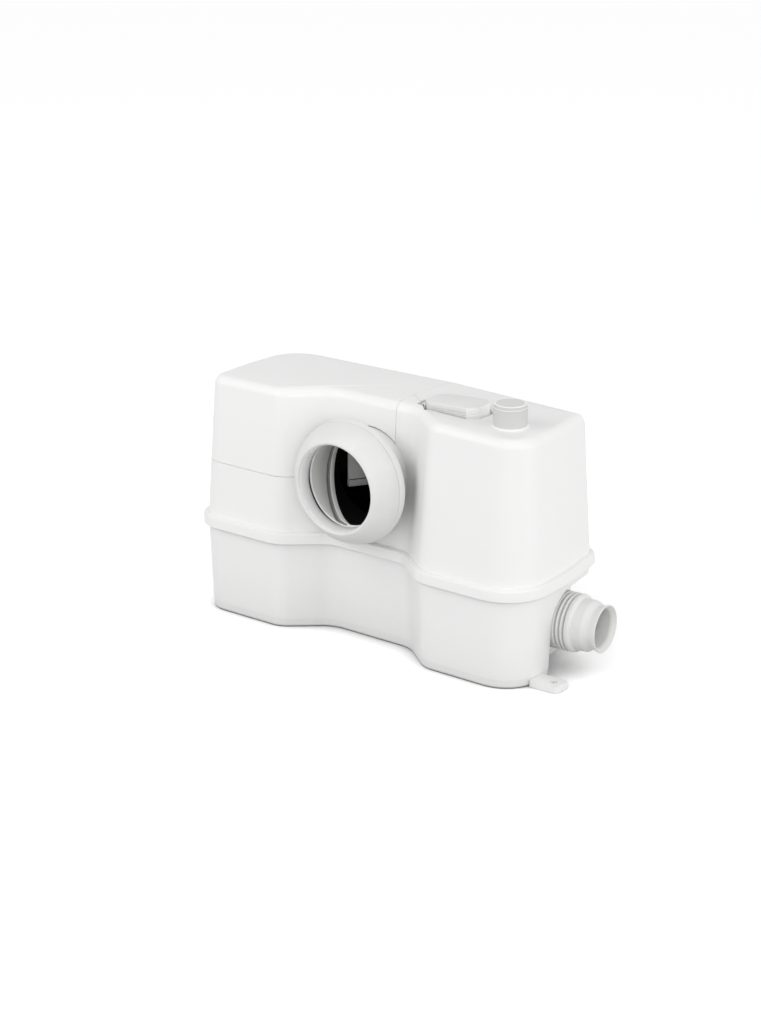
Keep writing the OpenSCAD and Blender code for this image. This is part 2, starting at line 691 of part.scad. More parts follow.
module carbon_filter() {
  color(black_plastic) translate([vent_x, vent_y, filter_low]) difference() {
    cylinder(r = filter_r, h = filter_h);
    for (a = [0:60:300]) rotate([0, 0, a]) translate([filter_r * 0.55, 0, filter_h - 3]) cylinder(r = 2.2, h = 4);
  }
}

// Cap pushed into the discharge neck
cap_plug = 13;
cap_r = outlet_r - 0.8;
module discharge_cap() {
  color(shell_white) translate([outlet_x, outlet_y, body_h + outlet_h]) {
    cylinder(r = cap_r, h = cap_t - 0.8);
    translate([0, 0, cap_t - 0.8]) cylinder(r1 = cap_r, r2 = cap_r - 0.8, h = 0.8);
    translate([0, 0, -cap_plug]) cylinder(r = outlet_r - outlet_wall - push_gap, h = cap_plug);
  }
}

// Motor plate on the deck, with its seal and screws
plate_r = can_d / 2 + 5;
plate_top = deck_z + plate_t;
hub_r = 24;
hub_low = deck_z - 16;
oring_in = deck_hole_r + 1;
oring_w = 2.4;
oring_h = 1.6;
bearing_r = 17.5;
bearing_h = 11;
low_shaft_r = 7.5;
module motor_plate() {
  color(aluminium) at_motor() difference() {
    union() {
      translate([0, 0, deck_z]) {
        cylinder(r = plate_r, h = plate_t);
        ear_ring() cylinder(r = 6, h = plate_t);
      }
      translate([0, 0, hub_low]) cylinder(r = hub_r, h = deck_z - hub_low + 1);
    }
    translate([0, 0, deck_z - 1]) ring(oring_in + oring_w + push_gap, oring_in - push_gap, oring_h + 1);
    translate([0, 0, plate_top - bearing_h]) cylinder(r = bearing_r + push_gap, h = bearing_h + 1);
    translate([0, 0, hub_low - 1]) cylinder(r = low_shaft_r + 1.5, h = deck_z);
    translate([0, 0, deck_z - 1]) ear_ring() cylinder(r = screw_r + screw_fit, h = plate_t + 2);
  }
}
module plate_seal() {
  color(black_plastic) at_motor() translate([0, 0, deck_z]) ring(oring_in + oring_w, oring_in, oring_h - push_gap);
}
head_h = 3.4;
head_r = 4.4;
module motor_screws() {
  color(steel) at_motor() ear_ring() {
    translate([0, 0, plate_top]) difference() {
      cylinder(r = head_r, h = head_h);
      translate([0, 0, head_h - 1.6]) cylinder(r = 2, h = 2, $fn = 6);
    }
    translate([0, 0, deck_z - deck_t]) cylinder(r = screw_r, h = plate_t + deck_t);
  }
}

// Motor: can, stator, windings, rotor, shaft and its two bearings
can_r = can_d / 2;
can_wall = 2;
can_top = plate_top + can_h;
top_bearing_r = 16;
top_bearing_h = 10;
top_bearing_z = can_top - can_wall - 3 - top_bearing_h;
core_in_r = 25;
air_gap = 0.5;
winding_h = 13;
rotor_room = 9;
core_z = plate_top + winding_h + 4;
core_h = can_top - core_z - can_wall - 3 - top_bearing_h - rotor_room;
rotor_r = core_in_r - air_gap;
top_shaft_r = 6;
rotor_shaft_r = 8.5;
module motor_can() {
  color(aluminium) at_motor() translate([0, 0, plate_top]) rotate_extrude() polygon([
    [can_r - can_wall, 0], [can_r + 3, 0], [can_r + 3, 2.5], [can_r, 2.5], [can_r, can_h - 4], [can_r - 4, can_h],
    [0, can_h], [0, can_h - can_wall], [top_bearing_r + push_gap, can_h - can_wall],
    [top_bearing_r + push_gap, can_h - can_wall - top_bearing_h - 3],
    [top_bearing_r + 3, can_h - can_wall - top_bearing_h - 3], [top_bearing_r + 3, can_h - can_wall],
    [can_r - can_wall - 3, can_h - can_wall], [can_r - can_wall, can_h - can_wall - 3]
  ]);
}
slots = 12;
module stator_core() {
  color(steel) at_motor() translate([0, 0, core_z]) difference() {
    ring(can_r - can_wall - push_gap, core_in_r, core_h);
    for (i = [0:slots - 1]) rotate([0, 0, i * 360 / slots])
      translate([core_in_r + 2, -2, -1]) cube([8, 4, core_h + 2]);
  }
}
module stator_windings() {
  out_r = can_r - can_wall - 3;
  in_r = core_in_r + 2.5;
  color(copper) at_motor() for (z = [core_z - winding_h, core_z + core_h])
    translate([0, 0, z]) rotate_extrude() polygon([
      [in_r, 2], [in_r + 2, 0], [out_r - 2, 0], [out_r, 2], [out_r, winding_h - 2], [out_r - 2, winding_h],
      [in_r + 2, winding_h], [in_r, winding_h - 2]
    ]);
}
module rotor_core() {
  color(steel) at_motor() translate([0, 0, core_z - 4]) difference() {
    union() {
      cylinder(r = rotor_r - 3, h = core_h + 8);
      translate([0, 0, 4]) cylinder(r = rotor_r, h = core_h);
    }
    translate([0, 0, -1]) cylinder(r = rotor_shaft_r + push_gap, h = core_h + 10);
  }
}
pump_shaft_r = 6;
grinder_shaft_r = 5;
nut_shaft_r = 4;
nut_h = 6;
grinder_low = grinder_z - 5;
shaft_low = grinder_low - nut_h - 1;
impeller_low = grinder_z + 11;
module motor_shaft() {
  step_z = plate_top - bearing_h - 2;
  color(steel) at_motor() rotate_extrude() polygon([
    [0, shaft_low], [nut_shaft_r, shaft_low], [nut_shaft_r, grinder_low], [grinder_shaft_r, grinder_low],
    [grinder_shaft_r, impeller_low], [pump_shaft_r, impeller_low], [pump_shaft_r, step_z], [low_shaft_r, step_z],
    [low_shaft_r, plate_top + 1], [rotor_shaft_r, plate_top + 1], [rotor_shaft_r, top_bearing_z - 1],
    [top_shaft_r, top_bearing_z - 1], [top_shaft_r, top_bearing_z + top_bearing_h], [0, top_bearing_z + top_bearing_h]
  ]);
}
module top_bearing() {
  color(steel) at_motor() translate([0, 0, top_bearing_z]) ring(top_bearing_r, top_shaft_r + run_gap, top_bearing_h);
}
module lower_bearing() {
  color(steel) at_motor() translate([0, 0, plate_top - bearing_h]) ring(bearing_r, low_shaft_r + run_gap, bearing_h);
}

// Column down to the pump, with the shaft seal at its foot
casing_z = grinder_z + 8;
casing_h = 36;
casing_top = casing_z + casing_h;
tube_r = 22;
tube_bore_r = 16;
tube_flange_r = 29;
tube_l = hub_low - casing_top;
module shaft_tube() {
  color(black_plastic) at_motor() translate([0, 0, casing_top]) difference() {
    union() {
      cylinder(r = tube_r, h = tube_l);
      cylinder(r = tube_flange_r, h = 4);
    }
    translate([0, 0, -1]) cylinder(r = tube_bore_r, h = tube_l + 2);
    for (a = [0:60:300]) rotate([0, 0, a])
      translate([tube_bore_r - 3, -3, 0.46 * tube_l]) cube([tube_r - tube_bore_r + 6, 6, 0.36 * tube_l]);
  }
}
seal_h = 12;
module shaft_seal() {
  color(black_plastic) at_motor() translate([0, 0, casing_top]) ring(tube_bore_r - push_gap, pump_shaft_r + run_gap, seal_h);
}

// Pump casing with its side outlet, impeller and grinder
casing_r = pump_d / 2;
coupler_t = 3.6;
coupler_l = 24;
casing_wall = 6;
casing_roof = 6;
outlet_off = 25;
outlet_len = casing_r + coupler_l / 2 + 1;
pipe_z = casing_z + 18;
to_riser = [outlet_x + motor_x, outlet_y + motor_y];
outlet_turn = atan2(to_riser.y, to_riser.x) - asin(outlet_off / norm(to_riser));
outlet_reach = sqrt(to_riser * to_riser - outlet_off * outlet_off);
module at_outlet() {
  at_motor() translate([0, 0, pipe_z]) rotate([0, 0, outlet_turn]) translate([0, outlet_off, 0]) along_x() children();
}
ring_screw_r = 1.8;
ring_screw_l = casing_wall + 1;
ring_screw_pos = casing_r - casing_wall / 2;
module ring_screw_places() {
  for (a = [60, 180, 300]) rotate([0, 0, a]) translate([ring_screw_pos, 0, 0]) children();
}
module pump_housing() {
  color(black_plastic) difference() {
    union() {
      at_motor() translate([0, 0, casing_z]) cylinder(r = casing_r, h = casing_h);
      at_outlet() cylinder(r = pipe_r, h = outlet_len);
    }
    at_motor() {
      translate([0, 0, casing_z - 1]) cylinder(r = casing_r - casing_wall, h = casing_h - casing_roof + 1);
      translate([0, 0, casing_z]) cylinder(r = pump_shaft_r + 1, h = casing_h + 1);
      translate([0, 0, casing_z - 1]) ring_screw_places() cylinder(r = ring_screw_r + push_gap, h = ring_screw_l + 2);
    }
    at_outlet() cylinder(r = pipe_r - pipe_wall, h = outlet_len + 1);
  }
}
impeller_r = casing_r - casing_wall - 3;
impeller_h = casing_top - casing_roof - 2 - impeller_low;
vane_t = 3;
vane_h = impeller_h - 6;
vane_sweep = 70;
vane_steps = 8;
function vane_point(t, side) =
  let (r = 9 + (impeller_r - 10) * t, a = vane_sweep * t) [r * cos(a) - side * sin(a), r * sin(a) + side * cos(a)];
module impeller() {
  color(steel) at_motor() translate([0, 0, impeller_low]) difference() {
    union() {
      cylinder(r = 10, h = impeller_h);
      translate([0, 0, vane_h]) cylinder(r = impeller_r, h = 4);
      for (i = [0:vanes - 1]) rotate([0, 0, i * 360 / vanes]) linear_extrude(vane_h + 1) polygon(concat(
        [for (k = [0:vane_steps]) vane_point(k / vane_steps, -vane_t / 2)],
        [for (k = [vane_steps:-1:0]) vane_point(k / vane_steps, vane_t / 2)]
      ));
    }
    translate([0, 0, -1]) cylinder(r = pump_shaft_r + push_gap, h = impeller_h + 2);
  }
}
intake_r = 20;
ring_t = casing_z - grinder_z;
module grinder_ring() {
  color(steel) at_motor() translate([0, 0, grinder_z]) difference() {
    cylinder(r = casing_r, h = ring_t);
    translate([0, 0, -1]) cylinder(r = intake_r, h = ring_t + 2);
    for (i = [0:ring_teeth - 1]) rotate([0, 0, i * 360 / ring_teeth])
      translate([intake_r - 1, 0, -1]) rotate([0, 0, 30]) cube([6, 3, ring_t + 2]);
    ring_screw_places() translate([0, 0, -1]) cylinder(r = ring_screw_r + screw_fit, h = ring_t + 2);
  }
}
module grinder_screws() {
  color(steel) at_motor() translate([0, 0, grinder_z]) ring_screw_places() {
    translate([0, 0, -2.4]) cylinder(r = ring_screw_r + 1.1, h = 2.4);
    cylinder(r = ring_screw_r, h = ring_t + ring_screw_l);
  }
}
head_hub_r = grinder_shaft_r + 4;
arm_r = intake_r - 0.6;
bar_r = 25;
module grinder_head() {
  color(steel) at_motor() difference() {
    union() {
      translate([0, 0, grinder_low]) cylinder(r = head_hub_r, h = impeller_low - grinder_low);
      translate([0, 0, grinder_low]) intersection() {
        linear_extrude(3.5) polygon([[-bar_r - 1, -3], [-6, -8], [bar_r + 1, -5], [bar_r + 1, 3], [6, 8], [-bar_r - 1, 5]]);
        cylinder(r = bar_r, h = 4);
      }
      intersection() {
        for (i = [0:grinder_arms - 1]) rotate([0, 0, i * 360 / grinder_arms]) translate([0, 0, grinder_z + 0.5])
          linear_extrude(ring_t + 1) polygon([[4, -5], [arm_r + 1, -7], [arm_r + 1, 1], [12, 2], [5, 6]]);
        cylinder(r = arm_r, h = casing_z + 4);
      }
    }
    translate([0, 0, grinder_low - 1]) cylinder(r = grinder_shaft_r + push_gap, h = impeller_low);
  }
}
module shaft_nut() {
  color(steel) at_motor() translate([0, 0, grinder_low - nut_h]) difference() {
    cylinder(r = 7.5, h = nut_h, $fn = 6);
    translate([0, 0, -1]) cylinder(r = nut_shaft_r + push_gap, h = nut_h + 2);
  }
}

// Discharge: pipe along the tank, non-return valve and riser to the neck
elbow_r = 32;
valve_low = max(pipe_z + elbow_r, recess_h + tank_wall) + coupler_l / 2 + 1;
elbow_top = valve_low - pipe_z - elbow_r;
module coupler() { ring(pipe_r + push_gap + coupler_t, pipe_r + push_gap, coupler_l); }
module pump_coupler() {
  color(black_plastic) at_outlet() translate([0, 0, outlet_len - coupler_l / 2]) coupler();
}
module discharge_pipe() {
  run = outlet_reach - elbow_r - outlet_len;
  color(inner_grey) union() {
    at_outlet() translate([0, 0, outlet_len]) ring(pipe_r, pipe_r - pipe_wall, run);
    at_motor() translate([0, 0, pipe_z]) rotate([0, 0, outlet_turn]) translate([outlet_reach - elbow_r, outlet_off, elbow_r])
      rotate([90, 0, 0]) rotate([0, 0, -90]) rotate_extrude(angle = 90) translate([elbow_r, 0]) difference() {
        circle(r = pipe_r);
        circle(r = pipe_r - pipe_wall);
      }
    at_motor() translate([0, 0, pipe_z]) rotate([0, 0, outlet_turn]) translate([outlet_reach, outlet_off, elbow_r])
      ring(pipe_r, pipe_r - pipe_wall, elbow_top);
  }
}
module at_riser() { translate([outlet_x, outlet_y, 0]) children(); }
module valve_coupler() {
  color(black_plastic) at_riser() translate([0, 0, valve_low - coupler_l / 2]) coupler();
}
valve_spigot = coupler_l / 2 + 3;
bowl_z = valve_low + valve_spigot;
bowl_r = 24;
bowl_wall = 4;
bowl_h = 44;
bowl_floor = 4;
seat_h = 2;
flap_r = 14.4;
flap_t = 2.9;
flap_gap = 0.1;
flap_z = bowl_z + bowl_floor + seat_h + flap_gap;
pivot_y = 15.5;
pivot_z = flap_z + 6;
pivot_r = 1.5;
boss_r = 3;
boss_l = 14;
pivot_ear = 3;
module valve_body() {
  port_r = pipe_r - pipe_wall;
  color(inner_grey) at_riser() difference() {
    union() {
      translate([0, 0, valve_low]) ring(pipe_r, port_r, valve_spigot + 1);
      translate([0, 0, bowl_z]) difference() {
        cylinder(r = bowl_r, h = bowl_h);
        translate([0, 0, bowl_floor]) cylinder(r = bowl_r - bowl_wall, h = bowl_h);
      }
      translate([0, 0, bowl_z + bowl_floor - 1]) ring(port_r + 2.5, port_r, seat_h + 1);
      intersection() {
        for (s = [-1, 1]) translate([s * (boss_l / 2 + 0.5 + pivot_ear / 2) - pivot_ear / 2, pivot_y - 2.6, bowl_z + bowl_floor - 1])
          cube([pivot_ear, bowl_r, pivot_z + 4 - bowl_z - bowl_floor]);
        translate([0, 0, bowl_z]) cylinder(r = bowl_r - 1, h = bowl_h);
      }
    }
    translate([0, 0, bowl_z - 1]) cylinder(r = port_r, h = bowl_floor + seat_h + 2);
    translate([-bowl_r / 2 - 1, pivot_y, pivot_z]) along_x() cylinder(r = pivot_r + run_gap, h = bowl_r + 2);
  }
}
module valve_flap() {
  color(black_plastic) at_riser() difference() {
    union() {
      translate([0, 0, flap_z]) cylinder(r = flap_r, h = flap_t);
      translate([-5, 8, flap_z]) cube([10, pivot_y - 8, pivot_z - flap_z]);
      translate([-boss_l / 2, pivot_y, pivot_z]) along_x() cylinder(r = boss_r, h = boss_l);
    }
    translate([-boss_l, pivot_y, pivot_z]) along_x() cylinder(r = pivot_r + run_gap, h = 2 * boss_l);
  }
}
module flap_pin() {
  l = boss_l + 2 * pivot_ear + 1;
  color(steel) at_riser() translate([-l / 2, pivot_y, pivot_z]) along_x() cylinder(r = pivot_r, h = l);
}
riser_low = bowl_z + bowl_h;
riser_top = body_h - outlet_drop / 2;
module riser_pipe() {
  r_in = pipe_r - pipe_wall;
  color(inner_grey) at_riser() rotate_extrude() polygon([
    [bowl_r - bowl_wall, riser_low], [bowl_r, riser_low], [bowl_r, riser_low + 5], [pipe_r, riser_low + 14],
    [pipe_r, riser_top], [r_in, riser_top], [r_in, riser_low + 13], [bowl_r - bowl_wall, riser_low + 4]
  ]);
}

// Level sensing: a tube into the tank, a pressure switch on it and a micro switch
level_low = 25;
switch_r = 13;
switch_z = deck_z + 2;
chamber_r = 10;
chamber_z = switch_z + 4;
chamber_h = 7;
switch_top = chamber_z + chamber_h + 6;
plunger_r = 3;
plunger_travel = 2;
micro_z = switch_top + plunger_travel + 3;
micro_l = 20;
micro_w = 10;
micro_h = 12;
module at_level() { translate([level_x, level_y, 0]) children(); }
module level_tube() {
  color(inner_grey) at_level() difference() {
    union() {
      translate([0, 0, level_low]) cylinder(r = level_r, h = switch_z - level_low);
      translate([0, 0, deck_z]) cylinder(r = switch_r, h = switch_z - deck_z);
    }
    translate([0, 0, level_low - 1]) cylinder(r = level_r - 2.5, h = switch_z - level_low + 2);
  }
}
module pressure_switch() {
  color(black_plastic) at_level() difference() {
    union() {
      translate([0, 0, switch_z]) cylinder(r = switch_r, h = switch_top - switch_z);
      for (s = [-1, 1]) translate([s * (micro_l / 2 - 1.5) - 1.5, -3, switch_top - 1]) cube([3, 6, micro_z - switch_top + 1]);
    }
    translate([0, 0, switch_z - 1]) cylinder(r = 2.5, h = switch_top - switch_z);
    translate([0, 0, chamber_z]) cylinder(r = chamber_r, h = chamber_h);
    translate([0, 0, chamber_z]) cylinder(r = plunger_r + run_gap, h = switch_top);
  }
}
module switch_plunger() {
  color(rubber_white) at_level() {
    translate([0, 0, chamber_z + 0.5]) cylinder(r = chamber_r - 0.6, h = 2);
    translate([0, 0, chamber_z + 2]) cylinder(r = plunger_r, h = switch_top - chamber_z - 2 + 1.5);
  }
}
module micro_switch() {
  color(black_plastic) at_level() translate([-micro_l / 2, -micro_w / 2, micro_z]) cube([micro_l, micro_w, micro_h]);
}

// Electrics: capacitor on the deck, control box on the turret, gland for the mains lead
can_at = [-84, 46];
store_r = 14;
store_h = 54;
module capacitor() {
  color(shell_white) translate([can_at.x, can_at.y, deck_z]) {
    cylinder(r = store_r, h = store_h);
    for (s = [-1, 1]) translate([s * 5 - 0.4, -3, store_h - 1]) cube([0.8, 6, 8]);
  }
}
box_lo = [-56, -12];
box_hi = [14, 44];
box_wall = 2;
module control_box() {
  color(black_plastic) translate([0, 0, turret_top]) difference() {
    linear_extrude(box_h) polygon(rounded_box(box_lo, box_hi, 4, 4));
    translate([0, 0, box_wall]) linear_extrude(box_h)
      polygon(rounded_box(box_lo + [box_wall, box_wall], box_hi - [box_wall, box_wall], 2, 4));
  }
}
module control_board() {
  edge = [box_wall + fit_gap, box_wall + fit_gap];
  size = box_hi - box_lo - 2 * edge;
  room = box_h - box_wall - fit_gap;
  color(board_green) translate([box_lo.x + edge.x, box_lo.y + edge.y, turret_top + box_wall]) {
    linear_extrude(1.6) polygon(rounded_box([0, 0], size, 2, 4));
    translate([size.x * 0.06, size.y * 0.12, 1]) cube([size.x * 0.25, size.y * 0.24, room * 0.7]);
    translate([size.x * 0.4, size.y * 0.16, 1]) cube([size.x * 0.3, size.y * 0.3, room * 0.75]);
    translate([size.x * 0.79, size.y * 0.53, 1]) cube([size.x * 0.12, size.y * 0.35, room * 0.7]);
  }
}
module control_lid() {
  color(black_plastic) translate([0, 0, turret_top + box_h]) linear_extrude(lid_t) polygon(rounded_box(box_lo, box_hi, 4, 4));
}
gland_inner = 4;
gland_nut_y = body_back - upper_inset(cover_low) + 0.8;
module cable_gland() {
  color(shell_white) translate([gland_x, 0, gland_z]) difference() {
    union() {
      translate([0, gland_nut_y + 7, 0]) along_y() cylinder(r = gland_r, h = gland_nut_y + 7 - bracket_y + bracket_t + 4);
      translate([0, gland_nut_y + 6, 0]) along_y() cylinder(r = gland_r + 3, h = 6, $fn = 6);
      translate([0, bracket_y - bracket_t, 0]) along_y() cylinder(r = gland_r + 3, h = 3, $fn = 6);
    }
    translate([0, gland_nut_y + 8, 0]) along_y() cylinder(r = gland_inner, h = body_back);
  }
}

lower_tank();
tank_seal();
upper_tank();
motor_cover();
inlet_collar();
inlet_band();
side_sleeve();
splash_baffle();
vent_frame();
vent_lid();
vent_hinge_pin();
carbon_filter();
discharge_cap();
motor_plate();
plate_seal();
motor_screws();
motor_can();
stator_core();
stator_windings();
rotor_core();
motor_shaft();
top_bearing();
lower_bearing();
shaft_tube();
shaft_seal();
pump_housing();
impeller();
grinder_head();
grinder_ring();
grinder_screws();
shaft_nut();
pump_coupler();
discharge_pipe();
valve_coupler();
valve_body();
valve_flap();
flap_pin();
riser_pipe();
level_tube();
pressure_switch();
switch_plunger();
micro_switch();
capacitor();
control_box();
control_board();
control_lid();
cable_gland();
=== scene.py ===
"""Looks of a macerator toilet pump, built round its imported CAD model."""

import json
import logging
import math
from dataclasses import dataclass, replace
from enum import Enum, IntEnum
from typing import Any, Callable, Sequence

import bmesh
import bpy
from mathutils import Matrix, Vector
from mathutils.bvhtree import BVHTree

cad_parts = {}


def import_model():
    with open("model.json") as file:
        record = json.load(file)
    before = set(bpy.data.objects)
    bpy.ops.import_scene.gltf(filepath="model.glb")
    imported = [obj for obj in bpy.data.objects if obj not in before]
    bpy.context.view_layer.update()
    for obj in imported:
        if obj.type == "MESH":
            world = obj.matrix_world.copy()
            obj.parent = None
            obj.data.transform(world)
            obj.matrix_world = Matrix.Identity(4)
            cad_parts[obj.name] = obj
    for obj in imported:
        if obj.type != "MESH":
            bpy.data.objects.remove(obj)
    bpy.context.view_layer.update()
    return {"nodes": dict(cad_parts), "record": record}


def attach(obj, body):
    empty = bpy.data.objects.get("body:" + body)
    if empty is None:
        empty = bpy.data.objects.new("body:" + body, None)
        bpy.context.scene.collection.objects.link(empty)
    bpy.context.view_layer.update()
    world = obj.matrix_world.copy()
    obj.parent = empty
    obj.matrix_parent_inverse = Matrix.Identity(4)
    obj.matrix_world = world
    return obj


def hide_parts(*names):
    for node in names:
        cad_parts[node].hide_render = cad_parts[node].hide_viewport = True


LOG = logging.getLogger("macerator")
MM = 0.001
SMOOTH_TURN = 38.0
SHARP_TURN = 34.0
NEARLY_STRAIGHT = 88.5
FILLET_STEP = 14.0
FILLET_SHARE = 0.48
WELD = 0.0005
SLIVER = 0.0001
NEARNESS_SAMPLES = 8
Point = tuple[float, float]
Place = tuple[float, float, float]
Colour = tuple[float, float, float]


class Slot(Enum):
    """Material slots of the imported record."""

    SHELL = "shell_white"
    SOFT_WHITE = "white_rubber"
    SOFT_BLACK = "black_rubber"
    BLACK = "black_plastic"
    GREY = "grey_plastic"
    STEEL = "steel"
    IRON = "iron"
    CAST = "cast_aluminium"
    COPPER = "copper"
    BOARD = "board_green"


class Body(Enum):
    """Bodies that the pieces built here ride on."""

    HOUSING = "housing"
    LID = "lid"
    CAP = "cap"


class Facing(Enum):
    """Ways that a form's axis points, each with the axis that it tilts about to get there."""

    FRONT = "X"
    RIGHT = "Y"


class Coat(IntEnum):
    """Numbers of the finishes on the tank's meshes; all but the plain one carry painted shade."""

    PLAIN = 0
    PAINTED_DARK = 1
    NECK_SHADE = 2
    SHADED = 3
    RECESS_SHADE = 4


class Shade:
    """A value in a node tree; arithmetic on it adds Math nodes."""

    def __init__(self, graph: "Graph", socket: bpy.types.NodeSocket) -> None:
        """Keeps the graph and the output socket that carries the value."""
        self.graph = graph
        self.socket = socket

    def maths(self, operation: str, first: Any, second: Any) -> "Shade":
        """Adds a Math node.

        Args:
            operation: name of the Math node's operation.
            first: number or Shade for its first input.
            second: number or Shade for its second input.

        Returns:
            The node's result.
        """
        node = self.graph.node("ShaderNodeMath", {0: first, 1: second}, operation=operation)
        return Shade(self.graph, node.outputs[0])

    def __add__(self, other: Any) -> "Shade":
        """Sum."""
        return self.maths("ADD", self, other)

    __radd__ = __add__

    def __sub__(self, other: Any) -> "Shade":
        """Difference."""
        return self.maths("SUBTRACT", self, other)

    def __rsub__(self, other: Any) -> "Shade":
        """Difference from a number."""
        return self.maths("SUBTRACT", other, self)

    def __mul__(self, other: Any) -> "Shade":
        """Product."""
        return self.maths("MULTIPLY", self, other)

    __rmul__ = __mul__

    def __pow__(self, other: Any) -> "Shade":
        """Power."""
        return self.maths("POWER", self, other)

    def over(self, edge: float) -> "Shade":
        """One where the value is above an edge, and nought elsewhere."""
        return self.maths("GREATER_THAN", self, edge)

    def most(self, other: Any) -> "Shade":
        """The larger of two values."""
        return self.maths("MAXIMUM", self, other)

    def clipped(self) -> "Shade":
        """The value held between nought and one."""
        return self.maths("MINIMUM", self.maths("MAXIMUM", self, 0.0), 1.0)


class Graph:
    """A node tree under construction."""

    def __init__(self, tree: bpy.types.NodeTree) -> None:
        """Empties the tree."""
        self.tree = tree
        tree.nodes.clear()

    def feed(self, socket: bpy.types.NodeSocket, value: Any) -> None:
        """Links or sets an input.

        Args:
            socket: the input.
            value: a Shade or an output to link to it, or a value to set.
        """
        if isinstance(value, Shade):
            self.tree.links.new(value.socket, socket)
        elif isinstance(value, bpy.types.NodeSocket):
            self.tree.links.new(value, socket)
        elif isinstance(value, tuple) and socket.type == "RGBA":
            socket.default_value = (*value[:3], 1.0)
        else:
            socket.default_value = value

    def node(self, kind: str, sockets: dict[Any, Any] | None = None, **settings: Any) -> Any:
        """Adds a node of any type.

        Args:
            kind: the node's type.
            sockets: values or links by input name, identifier or number.
            settings: properties, set before the sockets.

        Returns:
            The node.
        """
        node = self.tree.nodes.new(kind)
        for name, value in settings.items():
            setattr(node, name, value)
        for name, value in (sockets or {}).items():
            by_id = [s for s in node.inputs if s.identifier == name]
            self.feed(by_id[0] if by_id else node.inputs[name], value)
        return node

    def place(self) -> bpy.types.NodeSocket:
        """Position in the part's frame, in metres."""
        return self.node("ShaderNodeTexCoord").outputs["Object"]

    def axis(self, name: str) -> Shade:
        """One coordinate of the position."""
        split = self.node("ShaderNodeSeparateXYZ", {"Vector": self.place()})
        return Shade(self, split.outputs[name])

    def noise(self, size: float, detail: float = 2.0, stretch: Place = (1.0, 1.0, 1.0)) -> Shade:
        """Noise over the surface.

        Args:
            size: size of its patches in metres.
            detail: octaves.
            stretch: how far the patches are drawn out along each axis.

        Returns:
            A value about one half.
        """
        scale = tuple(1.0 / s for s in stretch)
        drawn = self.node("ShaderNodeMapping", {"Vector": self.place(), "Scale": scale})
        sockets = {"Vector": drawn.outputs[0], "Scale": 1.0 / size, "Detail": detail}
        node = self.node("ShaderNodeTexNoise", sockets)
        return Shade(self, node.outputs["Fac"])

    def cells(self, size: float) -> Shade:
        """Distance to the nearest of scattered points a size apart."""
        node = self.node("ShaderNodeTexVoronoi", {"Vector": self.place(), "Scale": 1.0 / size})
        return Shade(self, node.outputs["Distance"])

    def nearness(self, reach: float) -> Shade:
        """One where nothing stands near the surface, less where something shuts it in."""
        node = self.node("ShaderNodeAmbientOcclusion", {"Distance": reach}, samples=NEARNESS_SAMPLES)
        return Shade(self, node.outputs["AO"])

    def blend(self, amount: Shade, low: Any, high: Any) -> bpy.types.NodeSocket:
        """Colour between two colours.

        Args:
            amount: nought for the first colour and one for the second.
            low: the first colour.
            high: the second colour.

        Returns:
            The colour's output.
        """
        sockets = {"Factor_Float": amount, "A_Color": low, "B_Color": high}
        node = self.node("ShaderNodeMix", sockets, data_type="RGBA")
        return [s for s in node.outputs if s.identifier == "Result_Color"][0]

    def bump(self, height: Shade, depth: float) -> bpy.types.NodeSocket:
        """Surface normal from a height of nought to one over a depth in metres."""
        return self.node("ShaderNodeBump", {"Height": height, "Distance": depth}).outputs[0]


def neutral(tone: float) -> Colour:
    """A neutral colour."""
    return (tone, tone, tone)


def scaled(colour: Colour, by: float) -> Colour:
    """A colour made lighter or darker."""
    return tuple(min(1.0, c * by) for c in colour)


@dataclass(frozen=True)
class Finish:
    """A surface finish; its kinds fill in the pattern."""

    name: str
    slot: Slot
    colour: Colour
    roughness: float = 0.4
    spread: float = 0.04

    def pattern(self, graph: Graph) -> dict[str, Any]:
        """Values and links for the shader's sockets."""
        raise NotImplementedError

    def varied(self, graph: Graph, amount: Shade, spread: float) -> bpy.types.NodeSocket:
        """The colour made a share darker to a share lighter by an amount of nought to one."""
        return graph.blend(amount, scaled(self.colour, 1 - spread), scaled(self.colour, 1 + spread))

    def material(self) -> bpy.types.Material:
        """The finish as a material, made once.

        Returns:
            The material.
        """
        made = bpy.data.materials.get(self.name)
        if made is not None:
            return made
        made = bpy.data.materials.new(self.name)
        made.use_nodes = True
        graph = Graph(made.node_tree)
        shader = graph.node("ShaderNodeBsdfPrincipled", self.pattern(graph))
        graph.node("ShaderNodeOutputMaterial", {"Surface": shader.outputs[0]})
        made.diffuse_color = (*self.colour, 1.0)
        return made


